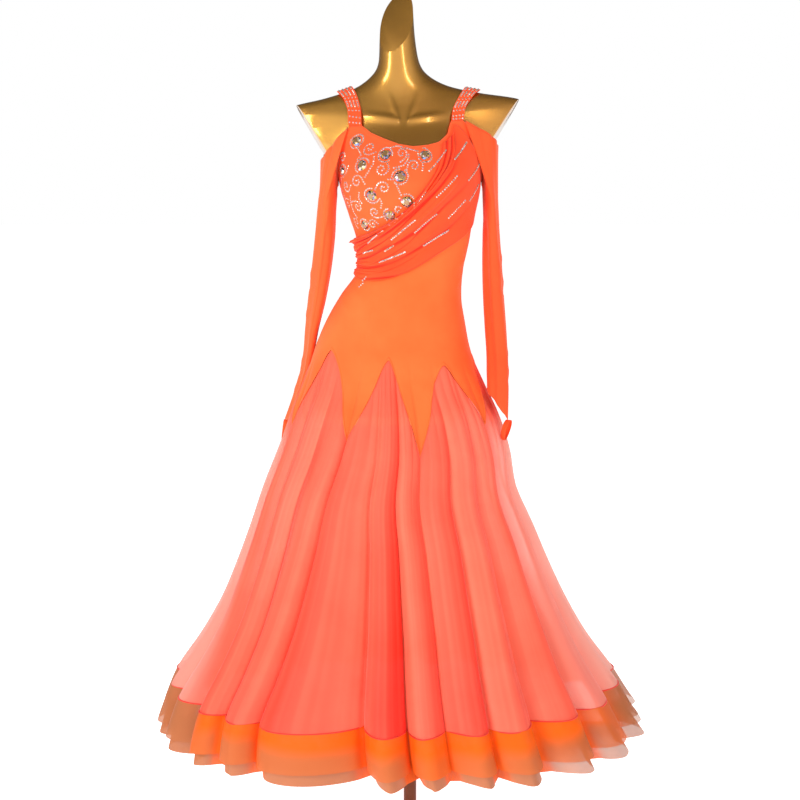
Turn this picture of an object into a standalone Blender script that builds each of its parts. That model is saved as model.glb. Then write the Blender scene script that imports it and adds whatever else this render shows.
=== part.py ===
"""Ballroom dance dress on a limbless dress form, in metres, +Z up, the front facing -Y.

The floor is z = 0 and the pole stands on x = y = 0. An angle of 0 degrees is the centre front,
+90 is the side at +X. Each piece of cloth is a thin closed wall on one shared dress surface.
Lines count the skirt's valleys: line 2.5 is halfway between valley 2 and valley 3.
"""

import math
from collections import namedtuple
from functools import lru_cache

import bmesh
import bpy
import numpy as np
from mathutils import Vector

# Driving sizes of the cloth
WALL = 0.0015            # bodice, straps, sash and sleeves
SKIRT_WALL = 0.002
OFF_FORM = 0.004         # outer face of the cloth from the form
CHEST_EASE = 0.002       # added to it above the bust
CHEST_EASE_Z = 1.36      # the ease starts here
CHEST_EASE_RISE = 0.05   # and is whole this much higher
FORM_INSET = 0.003       # the form below its shoulders, in from the skin the dress is cut to
SEAM = 0.00022           # how far each piece stops short of its seam line
LAP = 0.0006             # between a piece and the one it lies on
ROUNDNESS = 2.25         # exponent of the body's oval sections
ARM_MERGE = 7            # how sharply an arm stub leaves the torso
NORMAL_STEP = 0.004      # heights above and below a point that give its slope

# Heights
UNDERARM_Z = 1.372
CHEST_MIDDLE = (0, 0, 1.36)
CHEST_ROWS_Z = 1.345     # below this the bodice rows are level
HIP_ROWS_Z = 1.075       # below this they follow the zigzag edge
HEM_SEAM_Z = 0.370
HEM_Z = 0.297
UNDER_SEAM_Z = 0.345
UNDER_HEM_Z = 0.275
FLUTE_START_Z = 1.03     # the flutes have no depth above this
BODICE_RISE = 0.08       # this much higher the dress has wholly left the skirt for the body
HIP_TURN_Z = 1.0         # below this the lines turn towards their places at the hem
CHEST_TURN_Z = 1.15      # above this they turn towards their places at the chest
CHEST_TURN_RISE = 0.22

# Lines round the skirt
FLUTE_COUNT = 24
FLUTES_PER_GODET = 3
GODET_COUNT = FLUTE_COUNT // FLUTES_PER_GODET
COLUMNS_PER_FLUTE = 6
PANEL_STEP = 0.5         # lines between a panel's columns
FRONT_LINE = 0.5         # the side seams run down to the apex of a godet
BACK_LINE = FRONT_LINE + FLUTE_COUNT / 2

# Stand
POLE_RADIUS = 0.0135
BASE_RADIUS = 0.150
BASE_THICK = 0.010
BASE_EDGE = 0.002
COLLAR_RADIUS = 0.024
COLLAR_HEIGHT = 0.022
COLLAR_EDGE = 0.003
JOINT_GAP = 0.0003

# The form, a row for each ring from the hip to the neck. The three z columns are the ring's height at
# its side, front and back; arm_half and arm_depth give the flattened oval that makes the arm stubs.
BodyRing = namedtuple(
    "BodyRing", "ring z_side z_front z_back centre half front back arm_half arm_depth tilt")
BODY = [
    BodyRing(0, 0.900, 0.900, 0.900, -0.039, 0.140, 0.078, 0.098, 0.01, 0.01, 0),
    BodyRing(1, 0.930, 0.930, 0.930, -0.039, 0.158, 0.095, 0.118, 0.01, 0.01, 0),
    BodyRing(2, 0.985, 0.985, 0.985, -0.039, 0.162, 0.100, 0.124, 0.01, 0.01, 0),
    BodyRing(3, 1.040, 1.040, 1.040, -0.0375, 0.153, 0.099, 0.120, 0.01, 0.01, 0),
    BodyRing(4, 1.095, 1.095, 1.095, -0.031, 0.137, 0.097, 0.110, 0.01, 0.01, 0),
    BodyRing(5, 1.150, 1.150, 1.150, -0.0195, 0.1175, 0.091, 0.095, 0.01, 0.01, 0),
    BodyRing(6, 1.205, 1.205, 1.205, 0.0005, 0.1005, 0.085, 0.082, 0.01, 0.01, 0),
    BodyRing(7, 1.260, 1.260, 1.260, 0.005, 0.1075, 0.092, 0.085, 0.01, 0.01, 0),
    BodyRing(8, 1.315, 1.315, 1.315, 0.001, 0.120, 0.113, 0.092, 0.02, 0.01, 0),
    BodyRing(9, 1.365, 1.365, 1.365, -0.001, 0.133, 0.131, 0.099, 0.06, 0.02, 0),
    BodyRing(10, 1.400, 1.400, 1.400, -0.001, 0.136, 0.127, 0.102, 0.122, 0.030, 0.010),
    BodyRing(11, 1.428, 1.428, 1.428, -0.002, 0.135, 0.112, 0.103, 0.178, 0.040, 0.025),
    BodyRing(12, 1.456, 1.456, 1.456, -0.004, 0.131, 0.090, 0.101, 0.235, 0.046, 0.035),
    BodyRing(13, 1.484, 1.484, 1.484, -0.007, 0.126, 0.068, 0.096, 0.250, 0.047, 0.035),
    BodyRing(14, 1.510, 1.505, 1.515, -0.010, 0.116, 0.055, 0.087, 0.250, 0.044, 0.035),
    BodyRing(15, 1.531, 1.522, 1.535, -0.012, 0.100, 0.047, 0.076, 0.225, 0.035, 0.035),
    BodyRing(16, 1.546, 1.537, 1.552, -0.015, 0.084, 0.042, 0.066, 0.150, 0.030, 0.033),
    BodyRing(17, 1.562, 1.551, 1.569, -0.018, 0.069, 0.039, 0.057, 0.090, 0.026, 0.025),
    BodyRing(18, 1.583, 1.572, 1.590, -0.021, 0.051, 0.037, 0.050, 0.052, 0.020, 0.010),
    BodyRing(19, 1.607, 1.603, 1.610, -0.023, 0.0400, 0.036, 0.044, 0.03, 0.01, 0),
    BodyRing(20, 1.650, 1.650, 1.650, -0.026, 0.0350, 0.034, 0.038, 0.01, 0.01, 0),
    BodyRing(21, 1.700, 1.700, 1.700, -0.027, 0.0320, 0.033, 0.035, 0.01, 0.01, 0),
    BodyRing(22, 1.760, 1.760, 1.760, -0.027, 0.0300, 0.032, 0.033, 0.01, 0.01, 0),
]
FORM_COLUMNS = 28
FORM_HALF_RINGS = (5, 6, 8, 9, 10, 11)   # the form has an extra ring half a step above these
SHOULDER_RING = 15
# Flat cuts that end the neck and the arm stubs, each made by a block of twice this half size
Cut = namedtuple("Cut", "name point normal half")
CUTS = [
    Cut("neck", (-0.0300, 0.0, 1.686), (-0.350, -0.787, 0.508), 0.100),
    Cut("left_arm", (-0.192, 0.0, 1.473), (-0.83, -0.17, -0.50), 0.080),
    Cut("right_arm", (0.1795, 0.0, 1.485), (0.84, -0.17, -0.52), 0.080),
]
CUT_DEPTH = 0.12

# The skirt's sections through its flute crests, from the hip down
SkirtRing = namedtuple("SkirtRing", "z centre half front back")
SKIRT = [
    SkirtRing(1.120, -0.0265, 0.133, 0.099, 0.106),
    SkirtRing(1.070, -0.0345, 0.149, 0.102, 0.119),
    SkirtRing(1.022, -0.0358, 0.1638, 0.106, 0.129),
    SkirtRing(0.973, -0.0343, 0.1843, 0.120, 0.141),
    SkirtRing(0.924, -0.0320, 0.2065, 0.144, 0.160),
    SkirtRing(0.850, -0.0325, 0.2330, 0.175, 0.187),
    SkirtRing(0.765, -0.0413, 0.2583, 0.208, 0.216),
    SkirtRing(0.675, -0.0370, 0.294, 0.246, 0.248),
    SkirtRing(0.599, -0.0350, 0.325, 0.278, 0.277),
    SkirtRing(0.523, -0.0330, 0.360, 0.313, 0.310),
    SkirtRing(0.450, -0.0330, 0.402, 0.350, 0.346),
    SkirtRing(0.370, -0.0310, 0.458, 0.394, 0.386),
    SkirtRing(0.317, -0.0260, 0.486, 0.408, 0.400),
    SkirtRing(0.260, -0.0150, 0.516, 0.418, 0.410),
]

# A row for each valley between two flutes: where it meets the hem, and how deep it is there
Valley = namedtuple("Valley", "hem_deg depth")
VALLEYS = [
    Valley(-101, 0.045), Valley(-87, 0.050), Valley(-74, 0.055), Valley(-61, 0.055),
    Valley(-51, 0.036), Valley(-40, 0.062), Valley(-10, 0.085), Valley(4, 0.064),
    Valley(15, 0.050), Valley(27.5, 0.050), Valley(41, 0.055), Valley(56, 0.050),
    Valley(72, 0.046), Valley(88, 0.055), Valley(104, 0.050), Valley(121, 0.060),
    Valley(137, 0.050), Valley(152, 0.055), Valley(168, 0.062), Valley(184, 0.050),
    Valley(199, 0.055), Valley(214, 0.050), Valley(229, 0.060), Valley(244, 0.050),
]
FLUTE_SHAPE = 0.7        # below 1 the flutes are full and the valleys sharp

# The under skirt's rings, and how far each lies inside the skirt's outer face
UnderRing = namedtuple("UnderRing", "z inside")
UNDER_SKIRT = [UnderRing(0.600, 0.0028), UnderRing(0.555, 0.0055), UnderRing(0.460, 0.0080),
               UnderRing(UNDER_SEAM_Z, 0.0090)]
UNDER_COLUMNS = 3        # columns per flute
MITRE_MOST = 1.6

# Angles at the hip of the godets' points: line 0.5 is the first godet's apex, line 2 its next tip
HipPlace = namedtuple("HipPlace", "line deg")
HIP_PLACES = [
    HipPlace(0.5, -94), HipPlace(2, -78), HipPlace(3.5, -60), HipPlace(5, -32),
    HipPlace(6.5, -4), HipPlace(8, 18), HipPlace(9.5, 49), HipPlace(11, 66),
    HipPlace(12.5, 86), HipPlace(15.5, 131), HipPlace(18.5, 176), HipPlace(21.5, 221),
    HipPlace(24.5, 266),
]

# The zigzag edge between the bodice and the godets
APEX_Z = [1.030, 1.050, 1.034, 1.022, 1.030, 1.034, 1.030, 1.034]
TIP_Z = [0.885, 0.880, 0.852, 0.900, 0.880, 0.860, 0.880, 0.870]
ARCH_POWER = 1.5

# The bodice's top edge, a row for each named place: column, angle at the chest, height
Edge = namedtuple("Edge", "column deg z")
FRONT_TOP = [
    Edge(0, -90, UNDERARM_Z), Edge(1, -84, 1.382), Edge(2, -78, 1.399), Edge(3, -72.5, 1.428),
    Edge(4, -67, 1.484), Edge(5, -57, 1.484), Edge(6.5, -45.6, 1.470), Edge(8.6, -29.7, 1.459),
    Edge(11, -11.6, 1.448), Edge(13, 3.9, 1.4435), Edge(14.5, 19.5, 1.446), Edge(15.6, 32.3, 1.452),
    Edge(16.8, 45.8, 1.468), Edge(18, 57, 1.493), Edge(19, 66.5, 1.495), Edge(20, 69, 1.466),
    Edge(21, 72.5, 1.437), Edge(22, 78, 1.408), Edge(23, 84, 1.386), Edge(24, 90, UNDERARM_Z),
]
BACK_TOP = [
    Edge(0, 90, UNDERARM_Z), Edge(1, 97, 1.386), Edge(2, 104, 1.408), Edge(3, 110, 1.438),
    Edge(4, 114.5, 1.470), Edge(5, 118, 1.505), Edge(6, 128, 1.505), Edge(9, 155, 1.475),
    Edge(12, 180, 1.462),
    Edge(16, 210, 1.478), Edge(19, 232, 1.498), Edge(20, 242, 1.498), Edge(21, 248, 1.444),
    Edge(22, 255, 1.408), Edge(23, 263, 1.385), Edge(24, 270, UNDERARM_Z),
]
TOP_ROWS = 4
LEVEL_ROWS = 9
TONGUE_ROWS = 4
GODET_ROWS = (0, 0.13, 0.30, 0.52, 0.76, 1)

# Shoulder straps: x of the strap's two edges at the shoulder ridge
StrapRidge = namedtuple("StrapRidge", "name side front_columns back_columns outer_x inner_x")
STRAPS = [
    StrapRidge("strap_left", -1, (4, 5), (20, 19), -0.1435, -0.1135),
    StrapRidge("strap_right", 1, (19, 18), (5, 6), 0.1360, 0.1060),
]
STRAP_ROWS = 10
STRAP_CROWN = 0.0006     # a strap's middle stands this much over its edges

# Sleeves, a row for each level ring: height, inner and outer x, middle and half depth
SleeveRing = namedtuple("SleeveRing", "z inner outer y half_y")
LEFT_SLEEVE = [
    SleeveRing(1.345, -0.1460, -0.1825, 0.000, 0.052),
    SleeveRing(1.290, -0.1500, -0.1870, 0.000, 0.050),
    SleeveRing(1.215, -0.1575, -0.1945, 0.004, 0.047),
    SleeveRing(1.141, -0.1704, -0.2038, 0.014, 0.045),
    SleeveRing(1.082, -0.1850, -0.2107, 0.034, 0.043),
    SleeveRing(1.023, -0.1970, -0.2173, 0.058, 0.041),
    SleeveRing(0.959, -0.2140, -0.2338, 0.082, 0.037),
    SleeveRing(0.893, -0.2400, -0.2580, 0.090, 0.033),
]
RIGHT_SLEEVE = [
    SleeveRing(1.345, 0.1430, 0.1730, 0.000, 0.052),
    SleeveRing(1.290, 0.1450, 0.1765, 0.000, 0.050),
    SleeveRing(1.215, 0.1445, 0.1830, -0.004, 0.047),
    SleeveRing(1.140, 0.1467, 0.1886, -0.010, 0.045),
    SleeveRing(1.086, 0.1497, 0.1926, -0.020, 0.043),
    SleeveRing(1.033, 0.1528, 0.1952, -0.034, 0.040),
    SleeveRing(0.994, 0.1528, 0.1966, -0.047, 0.037),
    SleeveRing(0.938, 0.1535, 0.1950, -0.058, 0.033),
]
# How far each cuff's outer point hangs below its middle, and the share of that one ring higher
CUFF_SLANT = {-1: 0.006, 1: 0.028}
SLANT_ABOVE = 0.4
ARM_FROM_DEG = 65        # an armhole lies between these angles from the front
ARM_TO_DEG = 120
LOOSE_COLUMNS = 3        # columns from a sleeve's front to its outside, and on to its back
SLEEVE_LAP = 0.0009
SLEEVE_BULGE = 0.010     # how far the sleeve head swells over the arm stub
# The rings under the sleeve's rim: share of the way to the first level ring, and off the form
SLEEVE_HEAD = [(0.34, 0.0135), (0.67, 0.0150)]
# The sleeves' loose upper edge round the arm stub, from the front strap to the back strap
LOOSE_EDGE = {
    -1: [(-0.150, -0.048, 1.454), (-0.170, -0.033, 1.429), (-0.177, 0.0, 1.416),
         (-0.174, 0.034, 1.430), (-0.152, 0.056, 1.462)],
    1: [(0.145, -0.052, 1.476), (0.164, -0.044, 1.461), (0.172, 0.0, 1.448),
        (0.176, 0.042, 1.462), (0.150, 0.062, 1.485)],
}
LOOP_WIDTH = 0.010
LOOP_HEIGHT = 0.041
LOOP_HALF = 0.011
LOOP_TOP_HEAVY = 0.25    # a loop is this much wider at its top and narrower at its foot
LOOP_COLUMNS = 16
# Where each finger loop hangs: angle on the cuff's rim, drop below it, outward lean, turn of its
# face from the side towards the front
LoopPlace = namedtuple("LoopPlace", "rim_deg below lean turn_deg")
LOOP_PLACE = {-1: LoopPlace(88, 0.0007, 0.13, 0), 1: LoopPlace(90, 0.0007, -0.25, 30)}

# The sash: its edges on the bodice, as angle and height, from the left waist to the right chest
SashEdge = namedtuple("SashEdge", "deg z")
SASH_LOWER = [SashEdge(-88, 1.196), SashEdge(-45, 1.184), SashEdge(0, 1.210), SashEdge(45, 1.260),
              SashEdge(88, 1.305)]
SASH_UPPER = [SashEdge(-88, 1.265), SashEdge(-50, 1.282), SashEdge(-12, 1.318), SashEdge(12, 1.370),
              SashEdge(33, 1.444)]
SASH_RIGHT = [SashEdge(88, 1.305), SashEdge(79, 1.350), SashEdge(70, 1.395), SashEdge(64, 1.445),
              SashEdge(59, 1.484), SashEdge(50, 1.466), SashEdge(33, 1.444)]
SASH_LAP = 0.0018
SASH_WAIST_LAP = 0.0012  # added to it at the gathered waist
SASH_FOLDS = 5
SASH_ROWS = 20
SASH_COLUMNS = 18
FOLD_HEIGHT = 0.0065
# The folds start this far along the sash from the left waist, thin out from here and end after that
FOLD_RISE, FOLD_FROM, FOLD_FALL = 0.12, 0.45, 0.5
FOLD_LOW = 0.7           # the lowest fold's share of the highest one's height
ROLL_HEIGHT = 0.006      # the rolled upper edge stands this much prouder
ROLL_FROM, ROLL_RISE, ROLL_EDGE = 0.86, 0.06, 0.03   # where it lies across the sash

# Large crystals on the bodice: angle, height, radius
Crystal = namedtuple("Crystal", "deg z radius")
CRYSTALS = [
    Crystal(-56, 1.454, 0.0095), Crystal(-23, 1.4275, 0.0100), Crystal(13.9, 1.427, 0.0095),
    Crystal(-66, 1.400, 0.0085), Crystal(-42, 1.4085, 0.0100), Crystal(-8.5, 1.389, 0.0105),
    Crystal(-33, 1.3545, 0.0105), Crystal(-3.5, 1.344, 0.0105), Crystal(-20, 1.318, 0.0090),
    Crystal(-50, 1.298, 0.0080),
]
CRYSTAL_SIDES = 10
# A crystal's outlines: height off the cloth, and share of its radius
CrystalLevel = namedtuple("CrystalLevel", "height share")
CRYSTAL_LEVELS = [CrystalLevel(-0.0009, 0.92), CrystalLevel(0.0012, 1.0),
                  CrystalLevel(0.0055, 0.52)]


class Profile:
    """Smooth curves through a table whose first column is the key."""

    def __init__(self, rows):
        data = np.array([tuple(r) for r in rows], float)
        data = data[np.argsort(data[:, 0])]
        self.key, self.value = data[:, 0], data[:, 1:]
        self.slope = np.gradient(self.value, self.key, axis=0)

    def __call__(self, key):
        key = min(max(key, self.key[0]), self.key[-1])
        i = min(int(np.searchsorted(self.key, key, "right")) - 1, len(self.key) - 2)
        span = self.key[i + 1] - self.key[i]
        u = (key - self.key[i]) / span
        a, b = self.value[i], self.value[i + 1]
        sa, sb = self.slope[i] * span, self.slope[i + 1] * span
        return ((2 * u**3 - 3 * u**2 + 1) * a + (u**3 - 2 * u**2 + u) * sa
                + (3 * u**2 - 2 * u**3) * b + (u**3 - u**2) * sb)


BODY_PROFILE = Profile(BODY)
SKIRT_PROFILE = Profile(SKIRT)


def ease(x):
    """0 below 0, 1 above 1 and a smooth step between."""
    x = min(max(x, 0.0), 1.0)
    return x * x * (3 - 2 * x)


def mix(a, b, share):
    return a * (1 - share) + b * share


def unit(v):
    return v / max(np.linalg.norm(v), 1e-12)


def oval(sine, cosine, half, depth, power):
    """Distance from the middle to an oval's edge in one direction."""
    return (abs(sine / half) ** power + abs(cosine / depth) ** power) ** (-1 / power)


# ---------------------------------------------------------------- the two surfaces

def body_point(deg, ring):
    """A point of the form's skin."""
    z_side, z_front, z_back, centre, half, front, back, arm, arm_depth, tilt = BODY_PROFILE(ring)
    s, c = math.sin(math.radians(deg)), math.cos(math.radians(deg))
    torso = oval(s, c, half, front if c > 0 else back, ROUNDNESS)
    stub = oval(s, c, arm, arm_depth, 2)
    r = (torso**ARM_MERGE + stub**ARM_MERGE) ** (1 / ARM_MERGE)
    z = z_side * s * s + (z_front if c > 0 else z_back) * c * c
    return np.array([centre + r * s, -r * c, z + tilt * r * s])


@lru_cache(maxsize=None)
def ring_at(deg, z):
    """The ring number at which the form's skin has height z in this direction."""
    low, high = 0.0, 19.0
    for _ in range(26):
        middle = (low + high) / 2
        if body_point(deg, middle)[2] < z:
            low = middle
        else:
            high = middle
    return (low + high) / 2


def body_normal(deg, ring):
    across = body_point(deg + 2, ring) - body_point(deg - 2, ring)
    up = body_point(deg, ring + 0.1) - body_point(deg, ring - 0.1)
    return unit(np.cross(across, up))


def on_body(deg, z, off):
    """A point off the form's skin, at an angle and a height."""
    ring = ring_at(deg, z)
    return body_point(deg, ring) + off * body_normal(deg, ring)


def cloth_off(z):
    """How far the dress's outer face stands off the form."""
    return OFF_FORM + CHEST_EASE * ease((z - CHEST_EASE_Z) / CHEST_EASE_RISE)


def top_edge(line):
    """(angle at the chest, height) of the bodice's top edge."""
    line = (line - FRONT_LINE) % FLUTE_COUNT
    rows = FRONT_TOP if line <= FLUTE_COUNT / 2 else BACK_TOP
    column = (line if rows is FRONT_TOP else line - FLUTE_COUNT / 2) / PANEL_STEP
    columns = [r.column for r in rows]
    return (np.interp(column, columns, [r.deg for r in rows]),
            np.interp(column, columns, [r.z for r in rows]))


def hip_deg(line):
    """The angle of a line at the hip."""
    start = HIP_PLACES[0].line
    turn = 360 if line < start else 0
    line += FLUTE_COUNT if turn else 0
    return float(np.interp(line, [p.line for p in HIP_PLACES], [p.deg for p in HIP_PLACES])) - turn


def line_deg(line, z):
    """The angle of a line at a height: it moves from the chest to the hip to the hem."""
    turns, line = divmod(line, FLUTE_COUNT)
    hip = hip_deg(line)
    if z > CHEST_TURN_Z:
        chest = top_edge(line)[0]
        chest -= 360 if chest - hip > 180 else 0
        deg = mix(hip, chest, ease((z - CHEST_TURN_Z) / CHEST_TURN_RISE))
    else:
        i, u = int(line), line - int(line)
        a = VALLEYS[i].hem_deg
        b = VALLEYS[(i + 1) % FLUTE_COUNT].hem_deg + (360 if i + 1 == FLUTE_COUNT else 0)
        fall = min(max((HIP_TURN_Z - z) / (HIP_TURN_Z - HEM_SEAM_Z), 0), 1)
        deg = mix(hip, mix(a, b, u), fall)
    return deg + 360 * turns


def skirt_point(line, z):
    """A point of the fluted skirt, whose valleys deepen towards the hem."""
    centre, half, front, back = SKIRT_PROFILE(z)
    deg = math.radians(line_deg(line, z))
    s, c = math.sin(deg), math.cos(deg)
    u = line % 1
    i = int(line % FLUTE_COUNT)
    depth = mix(VALLEYS[i].depth, VALLEYS[(i + 1) % FLUTE_COUNT].depth, u)
    grow = max(0.0, (FLUTE_START_Z - z) / (FLUTE_START_Z - UNDER_HEM_Z))
    r = oval(s, c, half, front if c > 0 else back, ROUNDNESS)
    r -= depth * grow * (1 - math.sin(math.pi * u) ** FLUTE_SHAPE)
    return np.array([centre + r * s, -r * c, z])


def dress_point(line, z):
    """A point of the dress's outer face."""
    share = ease((z - FLUTE_START_Z) / BODICE_RISE)
    if share <= 0:
        return skirt_point(line, z)
    bodice = on_body(line_deg(line, z), z, cloth_off(z))
    return bodice if share >= 1 else mix(skirt_point(line, z), bodice, share)


def dress_normal(line, z, step):
    """(outward normal, how much further a wall's inner corner lies) for columns that far apart."""
    before, here, after = (dress_point(line + d, z) for d in (-step, 0, step))
    up = dress_point(line, z + NORMAL_STEP) - dress_point(line, z - NORMAL_STEP)
    bend = float(np.dot(unit(here - before), unit(after - here)))
    mitre = min(1 / math.sqrt(max((1 + bend) / 2, 1e-3)), MITRE_MOST)
    return unit(np.cross(unit(here - before) + unit(after - here), up)), mitre


def zigzag_z(line):
    """Height of the zigzag edge, straight between a panel's columns."""

    def exact(at):
        godet = int(math.floor((at + 1) / FLUTES_PER_GODET)) % GODET_COUNT
        apex_line = math.floor((at + 1) / FLUTES_PER_GODET) * FLUTES_PER_GODET + FRONT_LINE
        away = (at - apex_line) / (FLUTES_PER_GODET / 2)
        tip = TIP_Z[godet if away > 0 else godet - 1]
        return mix(APEX_Z[godet], tip, abs(away) ** ARCH_POWER)

    low = math.floor(line / PANEL_STEP + 1e-6) * PANEL_STEP
    return mix(exact(low), exact(low + PANEL_STEP), (line - low) / PANEL_STEP)


# ---------------------------------------------------------------- meshes

def material(name, colour, roughness, metallic=0.0):
    made = bpy.data.materials.new(name)
    made.use_nodes = True
    shader = made.node_tree.nodes["Principled BSDF"]
    shader.inputs["Base Color"].default_value = (*colour, 1)
    shader.inputs["Roughness"].default_value = roughness
    shader.inputs["Metallic"].default_value = metallic
    made.diffuse_color = (*colour, 1)
    return made


def add_object(name, points, faces, finish):
    """A named object from points and faces, with its faces pointing out."""
    bm = bmesh.new()
    corners = [bm.verts.new(p) for p in points]
    for face in faces:
        bm.faces.new([corners[i] for i in face])
    bmesh.ops.recalc_face_normals(bm, faces=bm.faces)
    return finish_object(name, bm, finish)


def finish_object(name, bm, finish):
    mesh = bpy.data.meshes.new(name)
    bm.to_mesh(mesh)
    bm.free()
    mesh.shade_smooth()
    mesh.set_sharp_from_angle(angle=math.radians(50))
    made = bpy.data.objects.new(name, mesh)
    made.data.materials.append(finish)
    bpy.context.scene.collection.objects.link(made)
    return made


def grid_normals(grid, closed):
    """Outward-or-inward normals of a grid of points, one sign all over."""
    if closed:
        across = np.roll(grid, -1, 1) - np.roll(grid, 1, 1)
    else:
        across = np.gradient(grid, axis=1)
    down = np.gradient(grid, axis=0)
    n = np.cross(across, down)
    return n / np.maximum(np.linalg.norm(n, axis=2, keepdims=True), 1e-12)


def outward_normals(grid, middle):
    """An open grid's normals, turned away from a point behind it."""
    n = grid_normals(grid, False)
    return n * np.sign((n * (grid - middle)).sum())


def stop_short(grid, normals, closed, sides=("top", "bottom", "left", "right")):
    """Draws a grid's edges back from their seam lines."""
    moved = grid.copy()
    edges = [("top", grid[0], grid[1], normals[0], (0, slice(None))),
             ("bottom", grid[-1], grid[-2], normals[-1], (-1, slice(None)))]
    if not closed:
        edges += [("left", grid[:, 0], grid[:, 1], normals[:, 0], (slice(None), 0)),
                  ("right", grid[:, -1], grid[:, -2], normals[:, -1], (slice(None), -1))]
    for name, edge, inside, normal, where in edges:
        if name not in sides:
            continue
        along = (np.roll(edge, -1, 0) - np.roll(edge, 1, 0) if closed
                 else np.gradient(edge, axis=0))
        away = np.cross(normal, along)
        away /= np.maximum(np.linalg.norm(away, axis=1, keepdims=True), 1e-12)
        sign = np.sign(((inside - edge) * away).sum(1, keepdims=True))
        moved[where] += SEAM * sign * away
    return moved - grid


def wall(name, outer, inner, closed, finish):
    """A closed wall between two grids of points; the columns join up where closed."""
    rows, columns = outer.shape[:2]
    points = [tuple(p) for p in outer.reshape(-1, 3)] + [tuple(p) for p in inner.reshape(-1, 3)]
    half = rows * columns

    def at(i, j, layer):
        return layer * half + i * columns + j % columns

    faces = []
    spans = columns if closed else columns - 1

    def quad(a, b, c, d):
        faces.append((a, b, c))
        faces.append((a, c, d))

    for i in range(rows - 1):
        for j in range(spans):
            quad(at(i, j, 0), at(i, j + 1, 0), at(i + 1, j + 1, 0), at(i + 1, j, 0))
            quad(at(i, j, 1), at(i, j + 1, 1), at(i + 1, j + 1, 1), at(i + 1, j, 1))
    for i in (0, rows - 1):
        for j in range(spans):
            quad(at(i, j, 0), at(i, j + 1, 0), at(i, j + 1, 1), at(i, j, 1))
    if not closed:
        for j in (0, columns - 1):
            for i in range(rows - 1):
                quad(at(i, j, 0), at(i + 1, j, 0), at(i + 1, j, 1), at(i, j, 1))
    return add_object(name, points, faces, finish)


def dress_wall(name, lines, levels, step, thick, finish, closed=False, chord_top=False, off=None):
    """A wall of the dress: lines are its columns and levels(line) its heights, top to bottom."""
    heights = [levels(line) for line in lines]
    grid = np.array([[dress_point(line, hs[i]) for line, hs in zip(lines, heights)]
                     for i in range(len(heights[0]))])
    found = [[dress_normal(line, hs[i], step) for line, hs in zip(lines, heights)]
             for i in range(len(heights[0]))]
    normals = np.array([[n for n, _ in row] for row in found])
    mitre = np.array([[[m] for _, m in row] for row in found])
    if chord_top:
        for j, line in enumerate(lines):
            low = math.floor(line / PANEL_STEP + 1e-6) * PANEL_STEP
            share = (line - low) / PANEL_STEP
            ends = [(low, 1 - share), (low + PANEL_STEP, share)]
            grid[0, j] = sum(w * dress_point(at, zigzag_z(at)) for at, w in ends)
            ns = [dress_normal(at, zigzag_z(at), PANEL_STEP) for at, _ in ends]
            normals[0, j] = unit(sum(w * n for (_, w), (n, _) in zip(ends, ns)))
            mitre[0, j] = sum(w * m for (_, w), (_, m) in zip(ends, ns))
    shift = stop_short(grid, normals, closed)
    if off is not None:
        grid = grid - normals * mitre * np.array(off).reshape(-1, 1, 1)
    outer = grid + shift
    return wall(name, outer, outer - normals * mitre * thick, closed, finish)


# ---------------------------------------------------------------- the pieces

def make_form(finish):
    """The torso with its neck and two arm stubs, cut flat."""
    rings = sorted([r.ring for r in BODY] + [r + 0.5 for r in FORM_HALF_RINGS])
    degs = [360 * j / FORM_COLUMNS for j in range(FORM_COLUMNS)]
    bm = bmesh.new()
    loops = []
    for ring in rings:
        inset = FORM_INSET * ease((SHOULDER_RING - ring) / 2)
        level = inset * np.array([1, 1, 0])
        loops.append([bm.verts.new(body_point(d, ring) - level * body_normal(d, ring))
                      for d in degs])
    for low, high in zip(loops, loops[1:]):
        for j in range(FORM_COLUMNS):
            k = (j + 1) % FORM_COLUMNS
            bm.faces.new((low[j], low[k], high[k], high[j]))
    bm.faces.new(loops[0][::-1])
    bm.faces.new(loops[-1])
    bmesh.ops.remove_doubles(bm, verts=bm.verts, dist=0.0004)
    bmesh.ops.recalc_face_normals(bm, faces=bm.faces)
    form = finish_object("dress_form", bm, finish)
    for cut in CUTS:
        cutter = make_block(f"{cut.name}_cutter", cut, finish)
        trim = form.modifiers.new(cutter.name, "BOOLEAN")
        trim.operation = "DIFFERENCE"
        trim.object = cutter
    return form


def make_block(name, cut, finish):
    """A guide block with one face on a cut."""
    normal = unit(np.array(cut.normal))
    across = unit(np.cross(normal, (0, 0, 1)))
    up = np.cross(across, normal)
    points = [tuple(np.array(cut.point) + normal * n + across * a * cut.half
                    + up * u * cut.half)
              for n in (0, CUT_DEPTH) for a, u in ((-1, -1), (1, -1), (1, 1), (-1, 1))]
    faces = [(0, 1, 2, 3), (4, 5, 6, 7), (0, 1, 5, 4), (1, 2, 6, 5), (2, 3, 7, 6), (3, 0, 4, 7)]
    block = add_object(name, points, faces, finish)
    block.hide_render = True
    block.display_type = "WIRE"
    return block


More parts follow.
